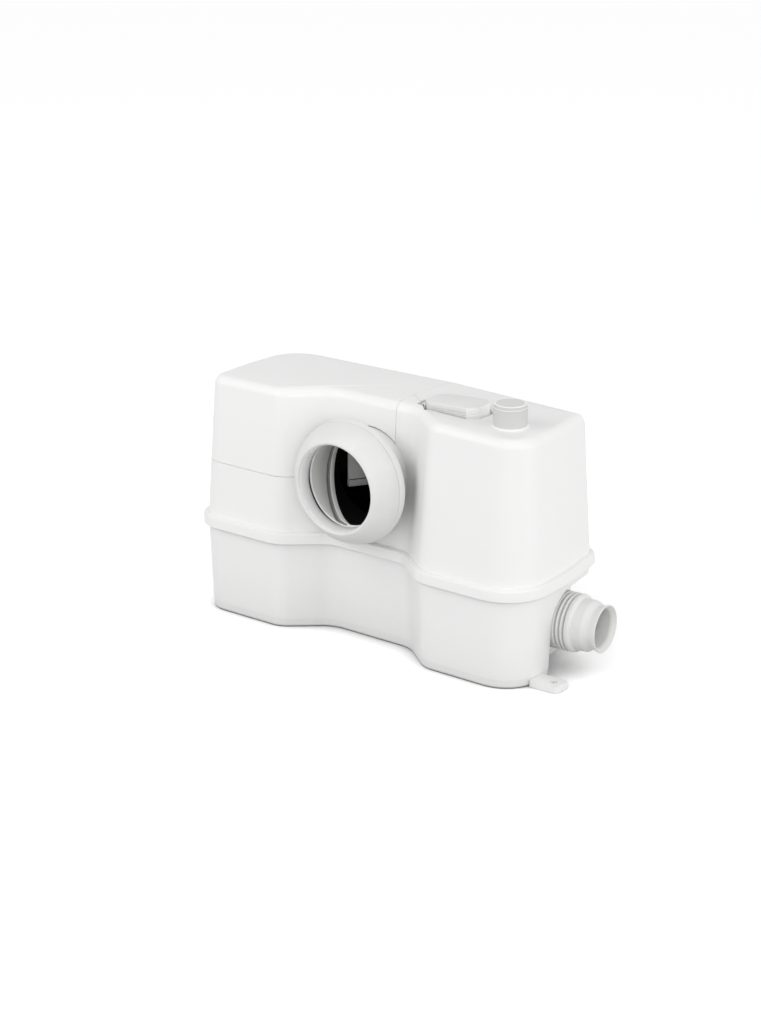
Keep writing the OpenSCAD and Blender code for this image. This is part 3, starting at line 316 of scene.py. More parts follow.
@dataclass(frozen=True)
class Moulding(Finish):
    """Moulded plastic: a fine spark-eroded grain and a soft flow in its tone.

    A painted shade above nought darkens the colour where something within its reach in metres shuts the
    surface in; the higher its gain, the more a face has to be shut in.
    """

    grain: float = 0.0007
    grain_depth: float = 0.00003
    flow: float = 0.09
    speck: float = 0.004
    gloss_patch: float = 0.03
    gloss_swing: float = 0.16
    specular: float = 0.5
    painted_shade: float = 0.0
    painted_shade_reach: float = 0.035
    painted_shade_gain: float = 2.0

    def pattern(self, graph: Graph) -> dict[str, Any]:
        """Grain for the bump, slow flow for tone and gloss, painted shade where the surface is shut in.

        Args:
            graph: the material's nodes.

        Returns:
            Values and links for the shader's sockets.
        """
        flow = graph.noise(self.flow, 3.0)
        fine = graph.noise(self.grain, 2.0)
        specks = graph.cells(self.speck)
        tone = (flow * 0.8 + fine * 0.2).clipped()
        height = fine * 0.7 + specks * 0.3
        colour = self.varied(graph, tone, self.spread)
        # Painted shade: the colour darkens where ambient occlusion finds something near.
        if self.painted_shade > 0:
            shut_in = (graph.nearness(self.painted_shade_reach) * self.painted_shade_gain).clipped()
            colour = graph.blend(shut_in, scaled(self.colour, 1 - self.painted_shade), colour)
        return {
            "Base Color": colour,
            "Roughness": self.roughness + (graph.noise(self.gloss_patch, 3.0) - 0.5) * self.gloss_swing,
            "Specular IOR Level": self.specular,
            "Normal": graph.bump(height, self.grain_depth),
        }


@dataclass(frozen=True)
class Rubber(Finish):
    """Soft rubber: matt, with a faint bloom and fine moulding pits; light may pass into it.

    Its depth is how far the light passes, in metres.
    """

    bloom: float = 0.06
    depth: float = 0.0
    bloom_patch: float = 0.022
    pit: float = 0.0016
    grain: float = 0.0006
    grain_depth: float = 0.00005

    def pattern(self, graph: Graph) -> dict[str, Any]:
        """Bloom in tone and gloss, pits in the bump.

        Args:
            graph: the material's nodes.

        Returns:
            Values and links for the shader's sockets.
        """
        bloom = graph.noise(self.bloom_patch, 4.0)
        pits = graph.cells(self.pit)
        fine = graph.noise(self.grain, 2.0)
        return {
            "Base Color": self.varied(graph, bloom, self.bloom),
            "Roughness": self.roughness + (bloom - 0.5) * 0.2,
            "Subsurface Weight": 1.0 if self.depth > 0 else 0.0,
            "Subsurface Radius": neutral(1.0),
            "Subsurface Scale": self.depth,
            "Specular IOR Level": 0.35,
            "Normal": graph.bump(fine * 0.6 + pits * 0.4, self.grain_depth),
        }


@dataclass(frozen=True)
class TurnedMetal(Finish):
    """Turned metal: fine rings left by the tool, with duller smears."""

    pitch: float = 0.0004
    pitch_depth: float = 0.00004
    smear: float = 0.012

    def pattern(self, graph: Graph) -> dict[str, Any]:
        """Rings along Z in the bump, smears in the gloss.

        Args:
            graph: the material's nodes.

        Returns:
            Values and links for the shader's sockets.
        """
        smear = graph.noise(self.smear, 4.0, (1.0, 1.0, 0.4))
        rings = graph.noise(self.pitch, 1.0, (60.0, 60.0, 1.0))
        return {
            "Base Color": self.varied(graph, smear, self.spread),
            "Metallic": 1.0,
            "Roughness": self.roughness + (smear - 0.5) * 0.24 + (rings - 0.5) * 0.1,
            "Normal": graph.bump(rings, self.pitch_depth),
        }


@dataclass(frozen=True)
class CastMetal(Finish):
    """Cast metal: a pebbled skin that is duller in its hollows."""

    grain: float = 0.0016
    grain_depth: float = 0.00025
    stain: float = 0.03

    def pattern(self, graph: Graph) -> dict[str, Any]:
        """Pebbles in the bump, darker hollows in the tone.

        Args:
            graph: the material's nodes.

        Returns:
            Values and links for the shader's sockets.
        """
        pebble = graph.noise(self.grain, 4.0)
        stain = graph.noise(self.stain, 4.0)
        tone = stain * 0.6 + pebble * 0.4
        return {
            "Base Color": graph.blend(tone, scaled(self.colour, 0.78), self.colour),
            "Metallic": 1.0,
            "Roughness": self.roughness + (pebble - 0.5) * 0.3,
            "Normal": graph.bump(pebble, self.grain_depth),
        }


@dataclass(frozen=True)
class Laminated(Finish):
    """Stacked iron sheet: thin dark lines between bright edges."""

    sheet: float = 0.0007
    gap_share: float = 0.24
    gap_depth: float = 0.0001
    rust: float = 0.008

    def pattern(self, graph: Graph) -> dict[str, Any]:
        """Sheet edges along Z.

        Args:
            graph: the material's nodes.

        Returns:
            Values and links for the shader's sockets.
        """
        level = graph.axis("Z") * (1.0 / self.sheet)
        edge = level.maths("FRACT", level, 0.0).over(self.gap_share)
        rust = graph.noise(self.rust, 4.0)
        tone = graph.blend(rust, scaled(self.colour, 0.7), self.colour)
        return {
            "Base Color": graph.blend(edge, scaled(self.colour, 0.35), tone),
            "Metallic": 0.85,
            "Roughness": self.roughness + (rust - 0.5) * 0.2,
            "Normal": graph.bump(edge, self.gap_depth),
        }


@dataclass(frozen=True)
class WoundWire(Finish):
    """Varnished copper wire, lacquered in loose layers."""

    wire: float = 0.0009
    wire_depth: float = 0.0004
    sway: float = 0.004
    lacquer: float = 0.006

    def pattern(self, graph: Graph) -> dict[str, Any]:
        """Strands that run round the bundle.

        Args:
            graph: the material's nodes.

        Returns:
            Values and links for the shader's sockets.
        """
        sway = graph.noise(self.sway * 3, 2.0) * self.sway
        level = (graph.axis("Z") + sway) * (math.tau / self.wire)
        strand = level.maths("SINE", level, 0.0) * 0.5 + 0.5
        lacquer = graph.noise(self.lacquer, 3.0)
        tone = graph.blend(lacquer, scaled(self.colour, 0.6), self.colour)
        return {
            "Base Color": graph.blend(strand, scaled(self.colour, 0.3), tone),
            "Metallic": 0.7,
            "Roughness": self.roughness + (lacquer - 0.5) * 0.2,
            "Coat Weight": 0.5,
            "Normal": graph.bump(strand, self.wire_depth),
        }


@dataclass(frozen=True)
class PrintedBoard(Finish):
    """Printed board: tracks under green lacquer and tinned pads."""

    track: float = 0.004
    pad_pitch: float = 0.006
    relief: float = 0.00006
    tin: Colour = (0.62, 0.6, 0.56)

    def pattern(self, graph: Graph) -> dict[str, Any]:
        """Tracks as stepped noise, pads at scattered points.

        Args:
            graph: the material's nodes.

        Returns:
            Values and links for the shader's sockets.
        """
        track = graph.noise(self.track, 0.0, (2.5, 0.6, 1.0)).over(0.53)
        pad = 1 - graph.cells(self.pad_pitch).over(0.16)
        lacquer = graph.blend(track, self.colour, scaled(self.colour, 1.7))
        return {
            "Base Color": graph.blend(pad, lacquer, self.tin),
            "Metallic": pad * 0.9,
            "Roughness": self.roughness - track * 0.08,
            "Normal": graph.bump(track * 0.5 + pad * 0.5, self.relief),
        }


@dataclass(frozen=True)
class Finishes:
    """Every finish on the pump."""

    shell: Finish = Moulding("shell_satin_white", Slot.SHELL, (0.86, 0.86, 0.855), 0.36, 0.012)
    # Copies of the shell with painted shade where something shuts the surface in: by the collar and in
    # the lower tank.
    shaded: Finish = replace(shell, name="shell_satin_shaded", painted_shade=0.6)
    recess_shade: Finish = replace(
        shell, name="shell_satin_recess_shade", painted_shade=0.4, painted_shade_reach=0.12, painted_shade_gain=1.6
    )
    soft_white: Finish = Rubber("rubber_white", Slot.SOFT_WHITE, (0.755, 0.755, 0.742), 0.45)
    # Lighter copies of the white rubber for the collar: painted light, though light also passes into
    # the lip's thin side.
    lip_lit_and_translucent: Finish = Rubber(
        "rubber_white_thin_painted_light", Slot.SOFT_WHITE, (0.96, 0.96, 0.945), 0.45, bloom=0.03, depth=0.018
    )
    wall_painted_light: Finish = Rubber(
        "rubber_white_painted_light", Slot.SOFT_WHITE, (0.97, 0.97, 0.955), 0.45, bloom=0.02
    )
    rim_painted_light: Finish = Rubber("rubber_white_rim_painted_light", Slot.SOFT_WHITE, (0.84, 0.84, 0.825), 0.45)
    soft_black: Finish = Rubber("rubber_black", Slot.SOFT_BLACK, neutral(0.022), 0.62, bloom=0.2)
    black: Finish = Moulding("moulding_black", Slot.BLACK, neutral(0.025), 0.45, 0.15)
    natural: Finish = Moulding("moulding_natural_white", Slot.SHELL, (0.68, 0.68, 0.675), 0.42, 0.015)
    pale: Finish = Moulding("moulding_pale_white", Slot.SHELL, (0.8, 0.8, 0.795), 0.5, 0.03)
    # Brightest, glossier white: painted light on the lid's free end and on the baffle plate.
    gloss: Finish = Moulding("moulding_white_painted_light", Slot.SHELL, (0.95, 0.95, 0.945), 0.25, 0.01)
    # Darker copy of the white moulding for the discharge neck and the cap's side: painted shade.
    neck: Finish = Moulding("moulding_neck_painted_shade", Slot.SHELL, (0.6, 0.6, 0.595), 0.42, 0.015)
    # Grey painted shade for the collar's groove.
    groove_painted_shade: Finish = Rubber("rubber_groove_painted_shade", Slot.SOFT_WHITE, neutral(0.3), 0.5)
    # Near-black painted shade for faces shut in where light hardly reaches.
    inside: Finish = Moulding(
        "moulding_inside_painted_shade", Slot.BLACK, neutral(0.003), 0.7, 0.15, specular=0.1
    )
    grey: Finish = Moulding("moulding_grey", Slot.GREY, neutral(0.3), 0.5, 0.05)
    steel: Finish = TurnedMetal("steel_turned", Slot.STEEL, (0.6, 0.6, 0.61), 0.32)
    iron: Finish = Laminated("iron_sheets", Slot.IRON, (0.3, 0.29, 0.28), 0.45)
    cast: Finish = CastMetal("aluminium_cast", Slot.CAST, (0.66, 0.67, 0.69), 0.42)
    copper: Finish = WoundWire("copper_wire", Slot.COPPER, (0.72, 0.36, 0.16), 0.35)
    board: Finish = PrintedBoard("board_lacquer", Slot.BOARD, (0.03, 0.16, 0.07), 0.3)

    def by_slot(self, slot: str) -> Finish:
        """The finish of a CAD node.

        Args:
            slot: the node's slot in the record.

        Returns:
            The finish.
        """
        table = {
            Slot.SHELL: self.shell,
            Slot.SOFT_WHITE: self.soft_white,
            Slot.SOFT_BLACK: self.soft_black,
            Slot.BLACK: self.black,
            Slot.GREY: self.grey,
            Slot.STEEL: self.steel,
            Slot.IRON: self.iron,
            Slot.CAST: self.cast,
            Slot.COPPER: self.copper,
            Slot.BOARD: self.board,
        }
        return table[Slot(slot)]


def round_over(mesh: bpy.types.Mesh, limit: float) -> None:
    """Shades a mesh smooth without new points.

    Each corner's normal is that of the faces that meet there within a limit, weighed by their area
    and their angle at the corner, so flat walls stay flat beside their fillets.

    Args:
        mesh: the mesh to shade.
        limit: widest turn, in degrees, that still shades as one surface.
    """
    least = math.cos(math.radians(limit))
    meeting: dict[tuple[int, int, int], list[tuple[Vector, float]]] = {}
    keys = [tuple(round(c * 1e6) for c in v.co) for v in mesh.vertices]
    for face in mesh.polygons:
        ring = [mesh.vertices[index].co for index in face.vertices]
        for k, index in enumerate(face.vertices):
            angle = (ring[k - 1] - ring[k]).angle(ring[(k + 1) % len(ring)] - ring[k], 0.0)
            meeting.setdefault(keys[index], []).append((face.normal, face.area * angle))
    normals: list[Vector] = []
    for face in mesh.polygons:
        own = face.normal
        for index in face.vertices:
            total = Vector()
            for normal, weight in meeting[keys[index]]:
                if own.dot(normal) >= least:
                    total += normal * weight
            normals.append(total.normalized() if total.length > 0 else own)
    mesh.polygons.foreach_set("use_smooth", [True] * len(mesh.polygons))
    mesh.normals_split_custom_set(normals)


class Blank:
    """A mesh under construction, in millimetres; each face carries the number of its finish."""

    def __init__(self) -> None:
        """Starts with no faces."""
        self.mesh = bmesh.new()

    def quads(self, rings: Sequence[Sequence[Vector]], closed: bool, finish: int = 0) -> None:
        """Joins rings of points, each closed on itself, by faces.

        Args:
            rings: rings of as many points each.
            closed: whether the last ring joins the first.
            finish: the faces' finish.
        """
        rows = [[self.mesh.verts.new(p) for p in ring] for ring in rings]
        count = len(rows[0])
        pairs = list(zip(rows, rows[1:])) + ([(rows[-1], rows[0])] if closed else [])
        for low, high in pairs:
            for i in range(count):
                j = (i + 1) % count
                face = self.mesh.faces.new((low[i], low[j], high[j], high[i]))
                face.material_index = finish

    def spin(self, path: Sequence[Point], place: Matrix, steps: int, closed: bool = True) -> None:
        """Turns a path of radius and height about an axis.

        Args:
            path: radii and heights.
            place: takes the axis from +Z at the origin to where it is.
            steps: faces round the axis.
            closed: whether the path closes on itself.
        """
        turns = [math.tau * i / steps for i in range(steps)]
        rings = []
        for r, h in path:
            rings.append([place @ Vector((r * math.cos(t), r * math.sin(t), h)) for t in turns])
        self.quads(rings, closed)

    def loft(self, rings: Sequence[Sequence[Vector]], finish: int = 0) -> None:
        """Skins a stack of rings and fills the first and the last of them.

        Args:
            rings: rings of as many points each, from one end to the other.
            finish: the faces' finish.
        """
        self.quads(rings, False, finish)
        for ring in (rings[0], rings[-1]):
            face = self.mesh.faces.new([self.mesh.verts.new(p) for p in ring])
            face.material_index = finish

    def block(self, low: Place, high: Place, edge: float, place: Matrix, finish: int = 0) -> None:
        """Adds a box with rounded edges.

        Args:
            low: lowest corner.
            high: highest corner.
            edge: radius of its edges.
            place: where the box goes.
            finish: the faces' finish.
        """
        rings = []
        for inset, z in rounded_edge(edge, high[2] - low[2]):
            corner = (low[0] + inset, low[1] + inset)
            box = box_outline(corner, (high[0] - inset, high[1] - inset), edge)
            rings.append([place @ Vector((x, y, low[2] + z)) for x, y in box])
        self.loft(rings, finish)

    def paint(self, *tests: Callable[[Vector], bool]) -> None:
        """Gives faces other finishes.

        Args:
            tests: one for each finish after the first; a face takes the last that its middle passes.
        """
        for number, test in enumerate(tests, 1):
            for face in self.mesh.faces:
                if test(face.calc_center_median()):
                    face.material_index = number

    def piece(self, name: str, body: Body, finishes: Sequence[Finish], stands_for: str) -> None:
        """Turns the blank into a piece of the scene.

        Args:
            name: the piece's name.
            body: the body that it rides on.
            finishes: finishes by number.
            stands_for: CAD node that it replaces.
        """
        bmesh.ops.remove_doubles(self.mesh, verts=self.mesh.verts[:], dist=WELD)
        bmesh.ops.dissolve_degenerate(self.mesh, edges=self.mesh.edges[:], dist=SLIVER)
        bmesh.ops.recalc_face_normals(self.mesh, faces=self.mesh.faces[:])
        bmesh.ops.scale(self.mesh, vec=(MM, MM, MM), verts=self.mesh.verts[:])
        data = bpy.data.meshes.new(name)
        self.mesh.to_mesh(data)
        self.mesh.free()
        for finish in finishes:
            data.materials.append(finish.material())
        data.polygons.foreach_set("use_smooth", [True] * len(data.polygons))
        data.set_sharp_from_angle(angle=math.radians(SHARP_TURN))
        made = bpy.data.objects.new(name, data)
        bpy.context.scene.collection.objects.link(made)
        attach(made, body.value)
        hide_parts(stands_for)
        LOG.info("%s: %d faces on %s", name, len(data.polygons), body.value)


def filleted(points: Sequence[Sequence[float]], closed: bool = True) -> list[Point]:
    """Path whose corners are rounded.

    Args:
        points: corners, each with its radius as a third number, or sharp without one.
        closed: whether the path closes on itself.

    Returns:
        Points along the path.
    """
    path: list[Point] = []
    count = len(points)
    for i, point in enumerate(points):
        at = Vector(point[:2])
        radius = point[2] if len(point) > 2 else 0.0
        if radius <= 0 or (not closed and i in (0, count - 1)):
            path.append(tuple(at))
            continue
        back = Vector(points[i - 1][:2]) - at
        ahead = Vector(points[(i + 1) % count][:2]) - at
        half = back.angle(ahead) / 2
        if half > math.radians(NEARLY_STRAIGHT):
            path.append(tuple(at))
            continue
        longest = FILLET_SHARE * min(back.length, ahead.length)
        reach = min(radius / math.tan(half), longest)
        start = at + back.normalized() * reach
        end = at + ahead.normalized() * reach
        steps = max(2, math.ceil((math.pi - 2 * half) / math.radians(FILLET_STEP)))
        for k in range(steps + 1):
            t = k / steps
            path.append(tuple(start * (1 - t) ** 2 + at * (2 * t * (1 - t)) + end * t**2))
    return path


def rounded_edge(radius: float, height: float) -> list[Point]:
    """Side of a form whose top and bottom edges are rounded.

    Args:
        radius: the edges' radius.
        height: the form's height.

    Returns:
        Insets and heights, from the bottom up.
    """
    arc = [math.radians(a) for a in (0, 30, 60, 90)]
    low = [(radius * (1 - math.sin(a)), radius * (1 - math.cos(a))) for a in arc]
    return low + [(inset, height - z) for inset, z in reversed(low)]


def box_outline(low: Point, high: Point, radius: float) -> list[Point]:
    """Rectangle with rounded corners."""
    corners = ((high[0], high[1]), (low[0], high[1]), (low[0], low[1]), (high[0], low[1]))
    return filleted([(x, y, radius) for x, y in corners])


def facing(way: Facing, at: Place, turn: float = 0.0) -> Matrix:
    """Place of a form built along +Z whose axis points to the front or to the right.

    Args:
        way: where its axis points.
        at: its origin's place.
        turn: degrees about the vertical, added at the end.

    Returns:
        The matrix.
    """
    tilt = Matrix.Rotation(math.radians(90), 4, way.value)
    return Matrix.Translation(at) @ Matrix.Rotation(math.radians(turn), 4, "Z") @ tilt


@dataclass
class Shell:
    """The tank: both its halves, with the discharge neck on the upper one."""

    finishes: Finishes
    halves: tuple[str, str] = ("upper_tank", "lower_tank")
    neck_at: Point = (152.0, -15.0)
    neck_radius: float = 17.2
    neck_foot: float = 258.9
    inlet: Place = (-8.0, -66.0, 178.0)
    inlet_radius: float = 49.6
    plug_sides: int = 24
    shaded_reach: float = 105.0
    shaded_low: float = 112.0
    shaded_high: float = 244.0
    lug_from: float = 201.0
    rays: int = 48
    ray_start: float = 0.0004
    ray_length: float = 2.0
    least_open: float = 0.1

    def surfaces(self, meshes: Sequence[bpy.types.Mesh]) -> BVHTree:
        """The tank's surfaces with a plug in its inlet.

        Args:
            meshes: meshes of the tank's halves.

        Returns:
            A tree to cast rays at.
        """
        points: list[Vector] = []
        faces: list[list[int]] = []
        for mesh in meshes:
            start = len(points)
            points.extend(v.co.copy() for v in mesh.vertices)
            faces.extend([start + i for i in f.vertices] for f in mesh.polygons)
        start = len(points)
        for k in range(self.plug_sides):
            a = math.tau * k / self.plug_sides
            way = Vector((math.cos(a), 0.0, math.sin(a))) * self.inlet_radius
            points.append((Vector(self.inlet) + way) * MM)
        faces.append(list(range(start, len(points))))
        return BVHTree.FromPolygons(points, faces)

    def open_share(self, tree: BVHTree, centre: Vector, normal: Vector) -> float:
        """Share of the outside that a face sees.

        Args:
            tree: the tank's surfaces.
            centre: middle of the face, in metres.
            normal: its normal.

        Returns:
            Nought for a face shut in on all sides, one for a face in the open.
        """
        side = normal.orthogonal().normalized()
        other = normal.cross(side)
        golden = math.pi * (3 - math.sqrt(5))
        start = centre + normal * self.ray_start
        clear = 0
        for k in range(self.rays):
            lift = (k + 0.5) / self.rays
            flat = math.sqrt(1 - lift * lift)
            a = k * golden
            way = normal * lift + (side * math.cos(a) + other * math.sin(a)) * flat
            clear += tree.ray_cast(start, way, self.ray_length)[0] is None
        return clear / self.rays

    def on_neck(self, centre: Vector) -> bool:
        """Whether a face is on the discharge neck above the roof."""
        x, y, z = (c / MM for c in centre)
        return z > self.neck_foot and math.dist((x, y), self.neck_at) < self.neck_radius

    def by_collar(self, centre: Vector) -> bool:
        """Tells the walls that the collar shuts in, which take painted shade.

        Args:
            centre: middle of a face, in metres.

        Returns:
            Whether the face is on those walls.
        """
        x, y, z = (c / MM for c in centre)
        near = math.dist((x, z), (self.inlet[0], self.inlet[2])) < self.shaded_reach
        return near and y < 0.0 and self.shaded_low < z < self.shaded_high

    def outside(self, name: str, centre: Vector) -> Coat:
        """Coat of a face on the outside, plain or with painted shade.

        Args:
            name: which of the tank's halves the face is on.
            centre: middle of the face, in metres.

        Returns:
            The coat.
        """
        # The lower tank between its lugs and the upper tank's walls by the collar take painted shade.
        if name == self.halves[1]:
            return Coat.RECESS_SHADE if abs(centre.x / MM) < self.lug_from else Coat.PLAIN
        # The neck takes a darker copy of the shell: painted shade.
        if self.on_neck(centre):
            return Coat.NECK_SHADE
        return Coat.SHADED if self.by_collar(centre) else Coat.PLAIN

    def dress(self, nodes: dict[str, bpy.types.Object]) -> None:
        """Paints the tank's inside black as painted shade, and gives each part of its outside its own
        coat.

        Args:
            nodes: the CAD nodes by name.
        """
        f = self.finishes
        coats = (f.shell, f.inside, f.neck, f.shaded, f.recess_shade)
        tree = self.surfaces([nodes[name].data for name in self.halves])
        for name in self.halves:
            mesh = nodes[name].data
            mesh.materials.clear()
            for finish in coats:
                mesh.materials.append(finish.material())
            hidden = 0
            for face in mesh.polygons:
                # Faces that see little of the outside are painted black: painted shade.
                shut = self.open_share(tree, face.center, face.normal) < self.least_open
                face.material_index = Coat.PAINTED_DARK if shut else self.outside(name, face.center)
                hidden += shut
            LOG.info("%s: %d faces look inside", name, hidden)


@dataclass
class Collar:
    """Rubber collar that takes the toilet pan's spigot."""

    finishes: Finishes
    x: float = -8.0
    z: float = 178.0
    back: float = 56.0
    front: float = 90.0
    rim: float = 10.0
    outer: float = 64.3
    bore: float = 44.0
    crest: float = 47.5
    rim_step: float = 1.3
    tail: float = 54.0
    tail_l: float = 8.0
    socket: float = 50.2
    socket_front: float = 68.2
    sleeve: float = 46.8
    sleeve_back: float = 32.0
    lip: float = 16.0
    lip_roll: tuple[Point, ...] = ((0.9, 0.15), (1.7, 0.7), (2.3, 1.7), (2.7, 3.2), (3.0, 5.5))
    gap_depth: float = 2.5
    gap_end: float = 4.2
    ring_from: float = 5.6
    ring_l: float = 12.4
    ring_steps: tuple[Point, ...] = (
        (1.0, 12.4), (1.2, 12.0), (2.1, 11.6), (2.3, 11.2), (2.3, 7.2), (2.1, 6.9), (0.6, 6.6),
        (0.3, 6.3), (0.2, 5.8), (0.2, 1.0), (0.3, 0.5), (0.6, 0.2), (1.6, 0.0),
    )
    slant_least: float = -1.0
    slant_swing: float = 26.0
    slant_lean: float = 7.0
    slant_most: float = 34.0
    bell_power: float = 1.5
    steps: int = 160

    def slant(self, turn: float) -> float:
        """How far forward the inner ring stands at an angle, as the passage bends away behind it."""
        swing = self.slant_swing * (1 + math.cos(turn)) - self.slant_lean * math.sin(turn)
        return min(self.slant_least + swing, self.slant_most)

    def path(self, turn: float) -> list[Point]:
        """Section of the collar: tail, rim, bell, lip, gap, groove and inner ring.

        Args:
            turn: angle round its axis, since the inner ring slants.

        Returns:
            Radii and distances in front of the unit's middle.
        """
        crest_l = self.front - self.back - self.rim
        edge = self.back + self.rim
        bell = []
        for a in range(0, 91, 5):
            c, s = math.cos(math.radians(a)), math.sin(math.radians(a))
            r = self.crest + (self.outer - self.crest) * abs(c) ** self.bell_power
            bell.append((r, self.front - crest_l + crest_l * abs(s) ** self.bell_power))
        roll = [(self.crest - inward, self.front - down) for inward, down in self.lip_roll]
        lip_back = self.front - self.lip
        b = self.bore
        tail_back = self.back - self.tail_l
        step = self.outer - self.rim_step
        gap = b + self.gap_depth
        corners = [
            (self.socket, self.socket_front), (self.socket, tail_back), (self.tail, tail_back, 0.6),
            (self.tail, self.back, 0.6), (self.outer, self.back, 1.2), (self.outer, edge - 1.1, 0.5),
            (step, edge - 0.9, 0.2), (step, edge - 0.1, 0.2), *bell, *roll,
            (b, lip_back, 0.2), (gap, lip_back - 0.3, 0.2), (gap, lip_back - self.gap_end, 0.4),
            (b + 1.0, lip_back - 5.4),
        ]
        fixed = filleted(corners, False)
        low = self.sleeve_back + self.slant(turn)
        part = min(1.0, (lip_back - self.ring_from - low) / self.ring_l)
        ring = [(b + out, low + up * part) for out, up in self.ring_steps]
        end = self.sleeve_back - 1.8
        return fixed + ring + [(b + 1.6, end), (self.sleeve, end), (self.sleeve, self.socket_front)]

    def build(self) -> None:
        """Builds the collar with its slanting inner ring, painted light on its lip, rim and inner wall,
        and painted shade in its groove, behind the lip and past the inner ring.
        """
        blank = Blank()
        at = facing(Facing.FRONT, (self.x, 0.0, self.z))
        columns = []
        for i in range(self.steps):
            turn = math.tau * i / self.steps
            c, s = math.cos(turn), math.sin(turn)
            columns.append([at @ Vector((r * c, r * s, h)) for r, h in self.path(turn)])
        blank.quads(columns, True)
        lip_back = self.front - self.lip
        inside = self.sleeve - 0.2

        def place(c: Vector) -> Point:
            """Radius and distance in front of the unit's middle."""
            return math.dist((c.x, c.z), (self.x, self.z)), -c.y

        def land(c: Vector) -> bool:
            """Thin inner side of the lip."""
            r, h = place(c)
            return r < self.crest - 1.9 and lip_back + 0.1 < h < self.front - 1.5

        def rim(c: Vector) -> bool:
            """Outside of the rim behind the bell."""
            r, h = place(c)
            return r > self.outer - 0.5 and h < self.back + self.rim - 0.6

        def wall(c: Vector) -> bool:
            """Inside behind the lip, and the inner ring."""
            r, h = place(c)
            return r < inside and h < lip_back

        def ditch(c: Vector) -> bool:
            """Groove before the inner ring."""
            r, h = place(c)
            return self.bore + 1.1 < r < inside and inner(c) + 3.0 < h < lip_back - 5.5

        def gap(r: float, h: float) -> bool:
            """Gap behind the lip."""
            return self.bore + 1.2 < r and lip_back - 4.3 < h < lip_back

        def behind(c: Vector) -> bool:
            """Gap behind the lip, and all that lies past the inner ring."""
            r, h = place(c)
            return r < inside and (gap(r, h) or h < inner(c) - 0.1)

        def inner(c: Vector) -> float:
            """Where the inner ring ends."""
            return self.sleeve_back + self.slant(math.atan2(c.z - self.z, c.x - self.x))

        # Painted light on the lip's inner side, the rim and the inner wall; grey painted shade in the
        # groove; black painted shade in the gap behind the lip and past the inner ring.
        blank.paint(land, rim, wall, ditch, behind)
        f = self.finishes
        tones = (f.soft_white, f.lip_lit_and_translucent, f.rim_painted_light, f.wall_painted_light, f.groove_painted_shade, f.inside)
        blank.piece("collar", Body.HOUSING, tones, "inlet_collar")


@dataclass
class SideSleeve:
    """Folded rubber sleeve of the side inlet."""

    finishes: Finishes
    place: Place = (170.0, 22.5, 51.0)
    turn: float = 4.5
    radius: float = 30.0
    socket: float = 25.2
    socket_end: float = 22.6
    first_fold: float = 29.3
    pitch: float = 4.65
    folds: int = 3
    fold_depth: float = 4.3
    step: float = 26.4
    lip: float = 24.7
    grip: float = 20.0
    hollow: float = 22.0
    length: float = 73.0
    steps: int = 128

    def path(self) -> list[Point]:
        """Section of the sleeve: folds, two steps and a flared lip.

        Returns:
            Radii and distances along its axis.
        """
        r, s, lip, end = self.radius, self.step, self.lip, self.length
        deep = r - self.fold_depth
        corners: list[Sequence[float]] = [(self.socket, 1.0), (r, 1.0, 1.4)]
        for i in range(self.folds):
            h = self.first_fold + i * self.pitch
            corners += [(r, h - 0.25, 1.1), (deep, h + 0.35, 0.4)]
            corners += [(deep, h + 1.45, 0.4), (r, h + 2.05, 1.1)]
        h = self.first_fold + (self.folds - 1) * self.pitch + 2.0
        corners += [
            (r - 0.2, h + 3.8, 2.5), (r - 1.6, h + 5.4, 1.5), (s + 0.3, h + 6.2, 1.2),
            (s + 0.1, h + 8.5, 1.5), (s - 0.1, h + 16.8, 2.0), (s - 1.4, h + 19.5, 2.0),
            (lip - 2.2, end - 10.0, 2.0), (lip - 2.3, end - 7.6, 2.0), (lip - 0.7, end - 3.4, 2.0),
            (lip, end - 0.9, 0.7), (lip - 0.8, end, 0.5), (self.grip + 0.8, end - 4.0, 1.5),
            (self.grip, end - 6.0, 1.5), (self.grip, end - 20, 1.0), (self.hollow, end - 24, 1.0),
            (self.hollow, self.socket_end), (self.socket, self.socket_end),
        ]
        return filleted(corners)

    def build(self) -> None:
        """Builds the sleeve."""
        blank = Blank()
        blank.spin(self.path(), facing(Facing.RIGHT, self.place, self.turn), self.steps)
        blank.piece("side_sleeve_folded", Body.HOUSING, (self.finishes.soft_white,), "side_sleeve")


